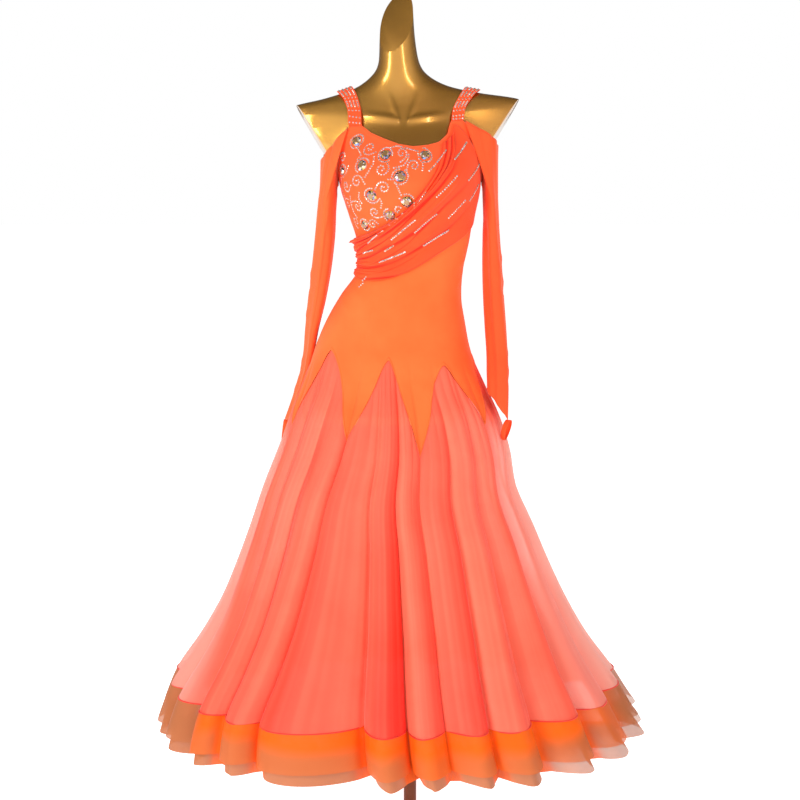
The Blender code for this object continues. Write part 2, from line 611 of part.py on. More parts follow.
def make_stand(finish):
    """The pole and its round foot."""
    top = BODY[0].z_side - JOINT_GAP
    foot = BASE_THICK + COLLAR_HEIGHT
    bottom = foot + JOINT_GAP
    bpy.ops.mesh.primitive_cylinder_add(
        vertices=24, radius=POLE_RADIUS, depth=top - bottom, location=(0, 0, (top + bottom) / 2))
    pole = bpy.context.object
    pole.name = pole.data.name = "form_pole"
    pole.data.materials.append(finish)
    outline = [(0, foot), (COLLAR_RADIUS - COLLAR_EDGE, foot), (COLLAR_RADIUS, foot - COLLAR_EDGE),
               (COLLAR_RADIUS, BASE_THICK + COLLAR_EDGE),
               (COLLAR_RADIUS + 2 * COLLAR_EDGE, BASE_THICK),
               (BASE_RADIUS - BASE_EDGE, BASE_THICK), (BASE_RADIUS, BASE_THICK - BASE_EDGE),
               (BASE_RADIUS, BASE_EDGE), (BASE_RADIUS - BASE_EDGE, 0), (0, 0)]
    bm = bmesh.new()
    verts = [bm.verts.new((x, 0, z)) for x, z in outline]
    edges = [bm.edges.new(pair) for pair in zip(verts, verts[1:])]
    bmesh.ops.spin(bm, geom=verts + edges, cent=(0, 0, 0), axis=(0, 0, 1), dvec=(0, 0, 0),
                   angle=2 * math.pi, steps=28, use_merge=True)
    bmesh.ops.remove_doubles(bm, verts=bm.verts, dist=1e-6)
    bmesh.ops.recalc_face_normals(bm, faces=bm.faces)
    finish_object("form_base", bm, finish)


def panel_levels(line):
    """Heights of a bodice panel's rows down one column."""
    top, bottom = top_edge(line)[1], zigzag_z(line)
    upper = [mix(top, CHEST_ROWS_Z, i / TOP_ROWS) for i in range(TOP_ROWS)]
    level = [mix(CHEST_ROWS_Z, HIP_ROWS_Z, i / LEVEL_ROWS) for i in range(LEVEL_ROWS)]
    return upper + level + [mix(HIP_ROWS_Z, bottom, i / TONGUE_ROWS) for i in range(TONGUE_ROWS + 1)]


def make_panel(name, first_line, finish):
    lines = [first_line + PANEL_STEP * i for i in range(int(FLUTE_COUNT / 2 / PANEL_STEP) + 1)]
    return dress_wall(name, lines, panel_levels, PANEL_STEP, WALL, finish)


def make_godet(number, finish):
    """One organza wedge between two tongues of the bodice."""
    first = FLUTES_PER_GODET * number - 1
    count = FLUTES_PER_GODET * COLUMNS_PER_FLUTE
    lines = [first + i / COLUMNS_PER_FLUTE for i in range(count + 1)]

    def levels(line):
        return [mix(zigzag_z(line), HEM_SEAM_Z, share) for share in GODET_ROWS]

    return dress_wall(f"godet_{number + 1}", lines, levels, 1 / COLUMNS_PER_FLUTE, SKIRT_WALL,
                      finish, chord_top=True)


def make_hem_bands(crin, organza):
    """The stiff hem band, and the under skirt with its own band, 2.3 cm lower."""
    step = 1 / COLUMNS_PER_FLUTE
    lines = [i * step for i in range(FLUTE_COUNT * COLUMNS_PER_FLUTE)]
    dress_wall("hem_band", lines, lambda line: [HEM_SEAM_Z, HEM_Z], step, SKIRT_WALL, crin,
               closed=True)
    step = 1 / UNDER_COLUMNS
    lines = [i * step for i in range(FLUTE_COUNT * UNDER_COLUMNS)]
    dress_wall("under_skirt", lines, lambda line: [row.z for row in UNDER_SKIRT], step, WALL,
               organza, closed=True, off=[row.inside for row in UNDER_SKIRT])
    clear = UNDER_SKIRT[-1].inside
    dress_wall("under_hem_band", lines, lambda line: [UNDER_SEAM_Z, UNDER_HEM_Z], step, WALL,
               crin, closed=True, off=[clear, clear])


def panel_corner(side_rows, first_line, column):
    """A corner of the bodice's top edge."""
    line = first_line + PANEL_STEP * column
    row = next(r for r in side_rows if r.column == column)
    return dress_point(line, row.z)


def make_strap(strap, finish):
    """A strap from the front edge over the shoulder to the back edge."""
    edges = []
    for front, back, ridge_x in zip(strap.front_columns, strap.back_columns,
                                    (strap.outer_x, strap.inner_x)):
        start = panel_corner(FRONT_TOP, FRONT_LINE, front)
        end = panel_corner(BACK_TOP, BACK_LINE, back)
        start_deg = next(r.deg for r in FRONT_TOP if r.column == front)
        end_deg = next(r.deg for r in BACK_TOP if r.column == back)
        end_deg -= 360 if strap.side < 0 else 0
        middle = STRAP_ROWS // 2
        points = [start]
        for i in range(1, STRAP_ROWS):
            share = i / middle if i <= middle else (STRAP_ROWS - i) / middle
            from_deg, from_x = (start_deg, start[0]) if i <= middle else (end_deg, end[0])
            points.append(shoulder_point(mix(from_deg, 90 * strap.side, share),
                                         mix(from_x, ridge_x, ease(share))))
        edges.append(points + [end])
    grid = np.array([[a, mix(a, b, 0.5), b] for a, b in zip(*edges)])
    for row in grid[1:-1]:
        row[1] += (0, 0, STRAP_CROWN)
    normals = outward_normals(grid, CHEST_MIDDLE)
    outer = grid + stop_short(grid, normals, False)
    return wall(strap.name, outer, outer - normals * WALL, False, finish)


def shoulder_point(deg, x):
    """A point off the shoulder, at an angle and an x."""
    low, high = 12.0, 18.5
    for _ in range(30):
        middle = (low + high) / 2
        if abs(body_point(deg, middle)[0]) > abs(x):
            low = middle
        else:
            high = middle
    return body_point(deg, low) + (OFF_FORM + CHEST_EASE) * body_normal(deg, low)


def arm_edge(rows, side):
    """(angle, height) of an armhole's half, from the strap to just before the underarm."""
    turned = [(r.deg - 360 if r.deg > 180 and side < 0 else r.deg, r.z) for r in rows]
    near = [(deg, z) for deg, z in turned if ARM_FROM_DEG <= deg * side <= ARM_TO_DEG]
    return sorted((r for r in near if r[0] != 90 * side), key=lambda r: -abs(r[0] - 90 * side))


def push_out(point, off):
    """Moves a point level and outwards until it is that far off the form's skin."""
    deg = 0.0
    for _ in range(4):
        centre = BODY_PROFILE(ring_at(deg, point[2]))[3]
        deg = math.degrees(math.atan2(point[0] - centre, -point[1]))
    skin = body_point(deg, ring_at(deg, point[2])) - (centre, 0, 0)
    away = np.array([point[0] - centre, point[1]])
    short = np.linalg.norm(skin[:2]) + off - np.linalg.norm(away)
    return point + np.append(unit(away) * max(short, 0), 0)


def make_sleeve(name, side, rows, finish):
    """A sleeve that hangs empty from the armhole, open round the shoulder."""
    lap = OFF_FORM + CHEST_EASE + SLEEVE_LAP

    def seam(rows):
        corner, *others = arm_edge(rows, side)
        return [on_body(*corner, lap + 2 * WALL), *(on_body(deg, z, lap) for deg, z in others)]

    front, back = seam(FRONT_TOP), seam(BACK_TOP)
    under = on_body(90 * side, UNDERARM_Z, lap)
    rim = np.array([front[0], *LOOSE_EDGE[side], back[0], *back[1:], under, *front[:0:-1]])
    quarters = (LOOSE_COLUMNS, LOOSE_COLUMNS, len(back), len(front))
    angles = np.array([math.pi / 2 * (quarter + i / count)
                       for quarter, count in enumerate(quarters) for i in range(count)])

    def level_ring(row):
        middle, half = (row.inner + row.outer) / 2, abs(row.outer - row.inner) / 2
        return np.column_stack([middle + side * half * np.sin(angles),
                                row.y - row.half_y * np.cos(angles), np.full(len(angles), row.z)])

    first = level_ring(rows[0])
    grid = [rim]
    for share, off in SLEEVE_HEAD:
        between = mix(rim, first, share)
        loose = (angles > 0) & (angles < math.pi)
        between[loose, 1] -= SLEEVE_BULGE * math.sin(math.pi * share) * np.cos(angles[loose])
        grid.append(np.array([point if hangs else push_out(point, off)
                              for point, hangs in zip(between, loose)]))
    grid = np.array(grid + [level_ring(row) for row in rows])
    grid[-1, :, 2] -= CUFF_SLANT[side] * np.sin(angles)
    grid[-2, :, 2] -= CUFF_SLANT[side] * SLANT_ABOVE * np.sin(angles)
    normals = grid_normals(grid, True)
    middle = grid.mean(axis=1, keepdims=True)
    normals *= np.sign((normals * (grid - middle)).sum(axis=(1, 2), keepdims=True))
    return wall(name, grid, grid - normals * WALL, True, finish)


def make_loop(name, side, rows, finish):
    """The finger loop under the cuff's point."""
    cuff, place = rows[-1], LOOP_PLACE[side]
    at, turn = math.radians(place.rim_deg), math.radians(place.turn_deg)
    middle, half = (cuff.inner + cuff.outer) / 2, abs(cuff.outer - cuff.inner) / 2
    top = np.array([middle + side * half * math.sin(at), cuff.y - cuff.half_y * math.cos(at),
                    cuff.z - CUFF_SLANT[side] * math.sin(at) - place.below])
    across = np.array([math.sin(turn), math.cos(turn), 0])
    facing = np.array([math.cos(turn), -math.sin(turn), 0])
    ring = []
    for i in range(LOOP_COLUMNS):
        angle = 2 * math.pi * i / LOOP_COLUMNS
        wide = LOOP_HALF * math.sin(angle) * (1 + LOOP_TOP_HEAVY * math.cos(angle))
        drop = LOOP_HEIGHT * (1 - math.cos(angle)) / 2
        ring.append(top + wide * across + (side * place.lean * drop, 0, -drop))
    ring = np.array(ring)
    grid = np.array([ring - facing * LOOP_WIDTH / 2, ring + facing * LOOP_WIDTH / 2])
    away = grid - ring.mean(axis=0)
    away -= (away @ facing)[..., None] * facing
    away /= np.linalg.norm(away, axis=2, keepdims=True)
    return wall(name, grid, grid - away * WALL, True, finish)


def sash_edge(rows, share):
    """(angle, height) on one of the sash's edges."""
    at = np.linspace(0, 1, len(rows))
    profile = Profile([(t, r.deg, r.z) for t, r in zip(at, rows)])
    return profile(share)


def make_sash(finish):
    """The draped sash, gathered at the left waist and spread over the right chest."""
    grid = np.zeros((SASH_ROWS + 1, SASH_COLUMNS + 1, 3))
    for i in range(SASH_ROWS + 1):
        q = i / SASH_ROWS
        left = mix(np.array(SASH_LOWER[0]), np.array(SASH_UPPER[0]), q)
        for j in range(SASH_COLUMNS + 1):
            s = j / SASH_COLUMNS
            low, high = sash_edge(SASH_LOWER, s), sash_edge(SASH_UPPER, s)
            right = sash_edge(SASH_RIGHT, q)
            corners = (mix(mix(np.array(SASH_LOWER[0]), np.array(SASH_LOWER[-1]), s),
                           mix(np.array(SASH_UPPER[0]), np.array(SASH_UPPER[-1]), s), q))
            deg, z = mix(low, high, q) + mix(left, right, s) - corners
            lap = cloth_off(z) + SASH_LAP + SASH_WAIST_LAP * (1 - s)
            grid[i, j] = on_body(deg, z, lap + WALL + fold_height(q, s))
    normals = outward_normals(grid, CHEST_MIDDLE)
    return wall("sash", grid, grid - normals * WALL, False, finish)


def fold_height(q, s):
    """How far the sash's folds stand off the bodice: full at the waist, fading to the right chest."""
    wave = 0.5 - 0.5 * math.cos(2 * math.pi * SASH_FOLDS * q)
    fade = ease(s / FOLD_RISE) * (1 - ease((s - FOLD_FROM) / FOLD_FALL))
    roll = ROLL_HEIGHT * ease((q - ROLL_FROM) / ROLL_RISE) * ease((1 - q) / ROLL_EDGE)
    return fade * (FOLD_HEIGHT * wave * mix(FOLD_LOW, 1.0, q) + roll)


def make_crystals(finish):
    """One guide mesh of all the large crystals, joined into the front panel by a union."""
    points, faces = [], []
    for crystal in CRYSTALS:
        ring = ring_at(crystal.deg, crystal.z)
        normal = body_normal(crystal.deg, ring)
        centre = body_point(crystal.deg, ring) + cloth_off(crystal.z) * normal
        side = unit(np.cross(normal, (0, 0, 1)))
        up = np.cross(side, normal)
        first = len(points)
        for height, share in CRYSTAL_LEVELS:
            for i in range(CRYSTAL_SIDES):
                angle = 2 * math.pi * i / CRYSTAL_SIDES
                flat = math.cos(angle) * side + math.sin(angle) * up
                points.append(tuple(centre + normal * height + flat * crystal.radius * share))
        n = CRYSTAL_SIDES
        top = len(CRYSTAL_LEVELS) - 1
        for k in range(top):
            for i in range(n):
                a, b = first + k * n + i, first + k * n + (i + 1) % n
                faces.append((a, b, b + n, a + n))
        faces.append(tuple(first + i for i in range(n))[::-1])
        faces.append(tuple(first + top * n + i for i in range(n)))
    guide = add_object("crystal_guide", points, faces, finish)
    guide.hide_render = True
    guide.display_type = "WIRE"
    return guide


def main():
    for old in list(bpy.data.objects):
        bpy.data.objects.remove(old)
    gold = material("gold_lacquer", (0.62, 0.36, 0.10), 0.22, 0.9)
    steel = material("bronze_metal", (0.40, 0.25, 0.14), 0.3, 1.0)
    jersey = material("orange_jersey", (1.0, 0.20, 0.05), 0.75)
    chiffon = material("orange_chiffon", (1.0, 0.12, 0.03), 0.7)
    organza = material("coral_organza", (1.0, 0.17, 0.11), 0.6)
    crin = material("orange_hem_braid", (1.0, 0.25, 0.03), 0.5)
    crystal = material("clear_crystal", (0.75, 0.68, 0.55), 0.05)

    make_form(gold)
    make_stand(steel)
    front = make_panel("front_panel", FRONT_LINE, jersey)
    front.data.materials.append(crystal)
    union = front.modifiers.new("crystals", "BOOLEAN")
    union.operation = "UNION"
    union.object = make_crystals(crystal)
    make_panel("back_panel", BACK_LINE, jersey)
    for strap in STRAPS:
        make_strap(strap, jersey)
    for name, side, rows in (("left", -1, LEFT_SLEEVE), ("right", 1, RIGHT_SLEEVE)):
        make_sleeve(f"sleeve_{name}", side, rows, jersey)
        make_loop(f"finger_loop_{name}", side, rows, jersey)
    make_sash(chiffon)
    for number in range(GODET_COUNT):
        make_godet(number, organza)
    make_hem_bands(crin, organza)


main()
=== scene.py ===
"""Ballroom dance dress on a limbless dress form, dressed with its finest shapes and materials.

Metres, +Z up, the dress's front facing -Y. An angle of 0 degrees is the centre front and +90 the
side at +X. Lines count the skirt's valleys: line 2.5 is halfway between valley 2 and valley 3.
"""

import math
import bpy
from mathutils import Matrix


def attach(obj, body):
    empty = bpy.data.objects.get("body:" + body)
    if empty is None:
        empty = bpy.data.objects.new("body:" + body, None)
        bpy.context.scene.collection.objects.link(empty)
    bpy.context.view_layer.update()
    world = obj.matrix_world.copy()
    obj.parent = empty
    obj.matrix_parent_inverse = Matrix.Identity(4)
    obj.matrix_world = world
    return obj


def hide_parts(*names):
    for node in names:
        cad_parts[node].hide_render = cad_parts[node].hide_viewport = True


bl_info = {
    "name": "Ballroom Dance Dress",
    "version": (1, 0, 0),
    "blender": (4, 5, 0),
    "location": "View3D > Sidebar > Dress",
    "description": "Builds a stoned ballroom dress with a fluted organza skirt on its dress form",
    "category": "Object",
}

from collections import namedtuple

import bmesh
import bpy
import numpy as np
from mathutils import Vector

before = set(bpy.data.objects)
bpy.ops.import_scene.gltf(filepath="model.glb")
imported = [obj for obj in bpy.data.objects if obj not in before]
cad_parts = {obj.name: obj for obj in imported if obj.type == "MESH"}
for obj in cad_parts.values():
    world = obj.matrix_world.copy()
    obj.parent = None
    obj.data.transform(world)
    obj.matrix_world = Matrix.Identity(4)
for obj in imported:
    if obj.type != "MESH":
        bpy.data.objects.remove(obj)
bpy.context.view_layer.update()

# Sizes the cloth shares with its solids, and the heights where one surface runs into the next
OFF_FORM = 0.004
CHEST_EASE = 0.002
FORM_INSET = 0.003
SHOULDER_RING = 15
NECK_RING = 19.0
SEAM = 0.0003
ROUNDNESS = 2.25
ARM_MERGE = 7
UNDERARM_Z = 1.372
CHEST_Z, CHEST_FADE = 1.36, 0.05
WAIST_Z, WAIST_FADE = 1.15, 0.22
BODICE_END_Z, BODICE_FADE = 1.03, 0.08
HIP_Z = 1.0
HEM_SEAM_Z = 0.370
HEM_Z = 0.297
UNDER_SEAM_Z = 0.345
UNDER_HEM_Z = 0.275
FLUTE_START_Z = 1.03
FLUTE_COUNT = 24
FLUTES_PER_GODET = 3
GODET_COUNT = FLUTE_COUNT // FLUTES_PER_GODET
FRONT_LINE = 0.5
BACK_LINE = FRONT_LINE + FLUTE_COUNT / 2

# The form, a row for each ring from the hip to the neck. The three z columns are the ring's height
# at its side, front and back; arm_half and arm_depth are the flat oval that makes the arm stubs.
BodyRing = namedtuple(
    "BodyRing", "ring z_side z_front z_back centre half front back arm_half arm_depth tilt")
BODY = [BodyRing(*row) for row in [
    (0, 0.900, 0.900, 0.900, -0.039, 0.140, 0.078, 0.098, 0.01, 0.01, 0),
    (1, 0.930, 0.930, 0.930, -0.039, 0.158, 0.095, 0.118, 0.01, 0.01, 0),
    (2, 0.985, 0.985, 0.985, -0.039, 0.162, 0.100, 0.124, 0.01, 0.01, 0),
    (3, 1.040, 1.040, 1.040, -0.0375, 0.153, 0.099, 0.120, 0.01, 0.01, 0),
    (4, 1.095, 1.095, 1.095, -0.031, 0.137, 0.097, 0.110, 0.01, 0.01, 0),
    (5, 1.150, 1.150, 1.150, -0.0195, 0.1175, 0.091, 0.095, 0.01, 0.01, 0),
    (6, 1.205, 1.205, 1.205, 0.0005, 0.1005, 0.085, 0.082, 0.01, 0.01, 0),
    (7, 1.260, 1.260, 1.260, 0.005, 0.1075, 0.092, 0.085, 0.01, 0.01, 0),
    (8, 1.315, 1.315, 1.315, 0.001, 0.120, 0.113, 0.092, 0.02, 0.01, 0),
    (9, 1.365, 1.365, 1.365, -0.001, 0.133, 0.131, 0.099, 0.06, 0.02, 0),
    (10, 1.400, 1.400, 1.400, -0.001, 0.136, 0.127, 0.102, 0.122, 0.030, 0.010),
    (11, 1.428, 1.428, 1.428, -0.002, 0.135, 0.112, 0.103, 0.178, 0.040, 0.025),
    (12, 1.456, 1.456, 1.456, -0.004, 0.131, 0.090, 0.101, 0.235, 0.046, 0.035),
    (13, 1.484, 1.484, 1.484, -0.007, 0.126, 0.068, 0.096, 0.250, 0.047, 0.035),
    (14, 1.510, 1.505, 1.515, -0.010, 0.116, 0.055, 0.087, 0.250, 0.044, 0.035),
    (15, 1.531, 1.522, 1.535, -0.012, 0.100, 0.047, 0.076, 0.225, 0.035, 0.035),
    (16, 1.546, 1.537, 1.552, -0.015, 0.084, 0.042, 0.066, 0.150, 0.030, 0.033),
    (17, 1.562, 1.551, 1.569, -0.018, 0.069, 0.039, 0.057, 0.090, 0.026, 0.025),
    (18, 1.583, 1.572, 1.590, -0.021, 0.051, 0.037, 0.050, 0.052, 0.020, 0.010),
    (19, 1.607, 1.603, 1.610, -0.023, 0.0400, 0.036, 0.044, 0.03, 0.01, 0),
    (20, 1.650, 1.650, 1.650, -0.026, 0.0350, 0.034, 0.038, 0.01, 0.01, 0),
    (21, 1.700, 1.700, 1.700, -0.027, 0.0320, 0.033, 0.035, 0.01, 0.01, 0),
    (22, 1.760, 1.760, 1.760, -0.027, 0.0300, 0.032, 0.033, 0.01, 0.01, 0),
]]

# Flat cuts that end the neck and the arm stubs, each made by a block of twice this half size
Cut = namedtuple("Cut", "name point normal half")
CUTS = [
    Cut("neck", (-0.0300, 0.0, 1.686), (-0.350, -0.787, 0.508), 0.100),
    Cut("left_arm", (-0.192, 0.0, 1.473), (-0.83, -0.17, -0.50), 0.080),
    Cut("right_arm", (0.1795, 0.0, 1.485), (0.84, -0.17, -0.52), 0.080),
]

# The skirt's sections through its flute crests, from the hip down
SkirtRing = namedtuple("SkirtRing", "z centre half front back")
SKIRT = [SkirtRing(*row) for row in [
    (1.120, -0.0265, 0.133, 0.099, 0.106),
    (1.070, -0.0345, 0.149, 0.102, 0.119),
    (1.022, -0.0358, 0.1638, 0.106, 0.129),
    (0.973, -0.0343, 0.1843, 0.120, 0.141),
    (0.924, -0.0320, 0.2065, 0.144, 0.160),
    (0.850, -0.0325, 0.2330, 0.175, 0.187),
    (0.765, -0.0413, 0.2583, 0.208, 0.216),
    (0.675, -0.0370, 0.294, 0.246, 0.248),
    (0.599, -0.0350, 0.325, 0.278, 0.277),
    (0.523, -0.0330, 0.360, 0.313, 0.310),
    (0.450, -0.0330, 0.402, 0.350, 0.346),
    (0.370, -0.0310, 0.458, 0.394, 0.386),
    (0.317, -0.0260, 0.486, 0.408, 0.400),
    (0.260, -0.0150, 0.516, 0.418, 0.410),
]]

# A row for each valley between two flutes: where it meets the hem, and how deep it is there
Valley = namedtuple("Valley", "hem_deg depth")
VALLEYS = [Valley(*row) for row in [
    (-101, 0.045), (-87, 0.050), (-74, 0.055), (-61, 0.055), (-51, 0.036), (-40, 0.062),
    (-10, 0.085), (4, 0.064), (15, 0.050), (27.5, 0.050), (41, 0.055), (56, 0.050),
    (72, 0.046), (88, 0.055), (104, 0.050), (121, 0.060), (137, 0.050), (152, 0.055),
    (168, 0.062), (184, 0.050), (199, 0.055), (214, 0.050), (229, 0.060), (244, 0.050),
]]
# How far the middle of each flute lies to one side, from valley 0 on: 1 is midway
FLUTE_LEANS = [0.8, 1.2, 0.9, 1.1, 1.25, 0.62, 1.0, 0.72, 1.35, 0.8, 1.2, 0.9,
               1.1, 0.8, 1.25, 0.9, 1.1, 0.75, 1.3, 0.9, 1.1, 0.8, 1.2, 0.9]
# How red each flute is, from valley 0 on, as painted shade
FLUTE_SHADES = [0.3, 0.4, 0.35, 0.33, 0.28, 0.36, 0.66, 0.22, 0.48, 0.20, 0.20, 0.22,
               0.30, 0.40, 0.2, 0.35, 0.2, 0.6, 0.1, 0.4, 0.25, 0.35, 0.3, 0.4]
# The side each flute folds over: its far edge has painted shade, its near a painted highlight
FLUTE_SIDE = np.array([-1, -1, -1, -1, -1, -1, 1, 1, 1, 1, 1, 1] * 2)
FLUTE_SHAPE = 0.7        # below 1 the flutes are full and the valleys sharp

# The under skirt's rings, and how far each lies inside the skirt's outer face
UnderRing = namedtuple("UnderRing", "z inside")
UNDER_SKIRT = [UnderRing(0.600, 0.0028), UnderRing(0.555, 0.0055), UnderRing(0.460, 0.0080),
               UnderRing(UNDER_SEAM_Z, 0.0090)]

# Angles at the hip of the godets' points: line 0.5 is the first godet's apex, line 2 its next tip
HipPlace = namedtuple("HipPlace", "line deg")
HIP_PLACES = [HipPlace(*row) for row in [
    (0.5, -94), (2, -78), (3.5, -60), (5, -32), (6.5, -4), (8, 18), (9.5, 49), (11, 66),
    (12.5, 86), (15.5, 131), (18.5, 176), (21.5, 221), (24.5, 266),
]]

# The zigzag edge between the bodice and the godets
APEX_Z = [1.030, 1.050, 1.034, 1.022, 1.030, 1.034, 1.030, 1.034]
TIP_Z = [0.885, 0.880, 0.852, 0.900, 0.880, 0.860, 0.880, 0.870]
ARCH_POWER = 1.5

# The bodice's top edge, a row for each named place: column, angle at the chest, height
Edge = namedtuple("Edge", "column deg z")
FRONT_TOP = [Edge(*row) for row in [
    (0, -90, UNDERARM_Z), (1, -84, 1.382), (2, -78, 1.399), (3, -72.5, 1.428),
    (4, -67, 1.484), (5, -57, 1.484), (6.5, -45.6, 1.470), (8.6, -29.7, 1.459),
    (11, -11.6, 1.448), (13, 3.9, 1.4435), (14.5, 19.5, 1.446), (15.6, 32.3, 1.452),
    (16.8, 45.8, 1.468), (18, 57, 1.493), (19, 66.5, 1.495), (20, 69, 1.466),
    (21, 72.5, 1.437), (22, 78, 1.408), (23, 84, 1.386), (24, 90, UNDERARM_Z),
]]
BACK_TOP = [Edge(*row) for row in [
    (0, 90, UNDERARM_Z), (1, 97, 1.386), (2, 104, 1.408), (3, 110, 1.438), (4, 114.5, 1.470),
    (5, 118, 1.505), (6, 128, 1.505), (9, 155, 1.475), (12, 180, 1.462), (16, 210, 1.478),
    (19, 232, 1.498), (20, 242, 1.498), (21, 248, 1.444), (22, 255, 1.408), (23, 263, 1.385),
    (24, 270, UNDERARM_Z),
]]

# Shoulder straps: the top edges' columns that they join, and x of their own two edges at the
# shoulder ridge
StrapRidge = namedtuple("StrapRidge", "name side front_columns back_columns outer_x inner_x")
STRAPS = [
    StrapRidge("strap_left", -1, (4, 5), (20, 19), -0.1435, -0.1135),
    StrapRidge("strap_right", 1, (19, 18), (5, 6), 0.1360, 0.1060),
]

# Sleeves, a row for each level ring: height, inner and outer x, middle and half depth
SleeveRing = namedtuple("SleeveRing", "z inner outer y half_y")
LEFT_SLEEVE = [SleeveRing(*row) for row in [
    (1.345, -0.1460, -0.1825, 0.000, 0.052),
    (1.290, -0.1500, -0.1870, 0.000, 0.050),
    (1.215, -0.1575, -0.1945, 0.004, 0.047),
    (1.141, -0.1704, -0.2038, 0.014, 0.045),
    (1.082, -0.1850, -0.2107, 0.034, 0.043),
    (1.023, -0.1970, -0.2173, 0.058, 0.041),
    (0.959, -0.2140, -0.2338, 0.082, 0.037),
    (0.893, -0.2400, -0.2580, 0.090, 0.033),
]]
RIGHT_SLEEVE = [SleeveRing(*row) for row in [
    (1.345, 0.1430, 0.1730, 0.000, 0.052),
    (1.290, 0.1450, 0.1765, 0.000, 0.050),
    (1.215, 0.1445, 0.1830, -0.004, 0.047),
    (1.140, 0.1467, 0.1886, -0.010, 0.045),
    (1.086, 0.1497, 0.1926, -0.020, 0.043),
    (1.033, 0.1528, 0.1952, -0.034, 0.040),
    (0.994, 0.1528, 0.1966, -0.047, 0.037),
    (0.938, 0.1535, 0.1950, -0.058, 0.033),
]]
SLEEVE_COLUMNS, SLEEVE_ROWS, HEAD_ROWS = 96, 75, 15
# How far each cuff's outer point hangs below its middle, and the share of the sleeve it slants over
CUFF_SLANT = {-1: 0.006, 1: 0.028}
CUFF_FROM, CUFF_REACH = 0.80, 0.20
ARM_FROM_DEG, ARM_TO_DEG = 65, 120  # an armhole lies between these angles from the front
SLEEVE_RADIUS = 0.04
SLEEVE_LAP = 0.0009
SLEEVE_BULGE = 0.010     # how far the sleeve head swells over the arm stub
# How far the sleeve head stands off the form, from the rim to the first level ring
SLEEVE_HEAD = [(0, 0.0073), (0.34, 0.0135), (0.67, 0.0150), (1, 0.0150)]
# The sleeves' loose upper edge round the arm stub, from the front strap to the back strap
LOOSE_EDGE = {
    -1: [(-0.150, -0.048, 1.454), (-0.170, -0.033, 1.429), (-0.177, 0.0, 1.416),
         (-0.174, 0.034, 1.430), (-0.152, 0.056, 1.462)],
    1: [(0.145, -0.052, 1.476), (0.164, -0.044, 1.461), (0.172, 0.0, 1.448),
        (0.170, 0.040, 1.448), (0.150, 0.062, 1.485)],
}
# Cross creases of the sleeves: height, width, tilt and size
SLEEVE_CREASES = {
    -1: [(1.190, 0.008, 0.020, 0.0016), (1.165, 0.007, 0.014, -0.0012),
         (1.120, 0.008, -0.016, 0.0012), (1.010, 0.007, 0.018, 0.0013),
         (0.985, 0.006, 0.012, -0.0010), (0.955, 0.007, -0.010, 0.0012)],
    1: [(1.230, 0.008, -0.018, 0.0014), (1.180, 0.008, 0.016, 0.0014),
        (1.160, 0.006, 0.012, -0.0011), (1.040, 0.007, -0.014, 0.0012),
        (1.005, 0.007, 0.016, 0.0013), (0.985, 0.006, 0.010, -0.0010)],
}
# Heights of a sleeve's long folds, of the finer ones between them and of the gathers at its head
SLEEVE_FOLD, SLEEVE_FINE, SLEEVE_GATHER = 0.0022, 0.0011, 0.0040
# Shares of the sleeve: where its long folds have grown, where the gathers die away, and where the
# folds are held flat down to, on the side that is sewn in
LONG_GROWN, GATHER_END, SEWN_END, SEWN_FADE = 0.25, 0.09, 0.22, 0.10
SEWN_SIDE = 0.15
LOOP_WIDTH = 0.010
LOOP_HEIGHT = 0.041
LOOP_HALF = 0.011
LOOP_POINTS, LOOP_TAPER = 48, 0.25
LOOP_ACROSS = (-0.5, -0.44, 0, 0.44, 0.5)
# Where each finger loop hangs: angle on the cuff's rim, drop below it, outward lean, turn of its
# face from the side towards the front
LoopPlace = namedtuple("LoopPlace", "rim_deg below lean turn_deg")
LOOP_PLACE = {-1: LoopPlace(88, 0.0007, 0.13, 0), 1: LoopPlace(90, 0.0007, -0.25, 30)}

# The sash: its edges on the bodice, as angle and height, from the left waist to the right chest
SashEdge = namedtuple("SashEdge", "deg z")
SASH_LOWER, SASH_UPPER, SASH_RIGHT = [[SashEdge(*row) for row in rows] for rows in (
    [(-88, 1.196), (-45, 1.184), (0, 1.210), (45, 1.260), (88, 1.305)],
    [(-88, 1.265), (-50, 1.282), (-12, 1.318), (12, 1.370), (33, 1.444)],
    [(88, 1.305), (79, 1.350), (70, 1.395), (64, 1.445), (59, 1.484), (50, 1.466), (33, 1.444)],
)]
SASH_LAP = 0.0018
SASH_WAIST_LAP = 0.0012  # added to it at the gathered waist
SASH_FOLDS = 5

# Large crystals on the bodice: angle, height, radius
Crystal = namedtuple("Crystal", "deg z radius")
CRYSTALS = [Crystal(*row) for row in [
    (-56, 1.454, 0.0095), (-23, 1.4275, 0.0100), (13.9, 1.427, 0.0095),
    (-66, 1.400, 0.0085), (-42, 1.4085, 0.0100), (-8.5, 1.389, 0.0105),
    (-33, 1.3545, 0.0105), (-3.5, 1.344, 0.0105), (-20, 1.318, 0.0090),
    (-50, 1.298, 0.0080),
]]
FOLD_HEIGHT = 0.0065
FOLD_FULL, PLEAT_FULL = 0.75, 0.6  # below 1 the folds are full and their valleys sharp
PLEAT_MEAN = 0.6
ROLL_HEIGHT = 0.006
CRYSTAL_HEIGHT = 0.0055
# A crystal's levels from its girdle to its flat top: share of the radius, share of the height
CRYSTAL_CUT = [(1.0, 0.0), (1.0, 0.28), (0.74, 0.80), (0.46, 1.0)]
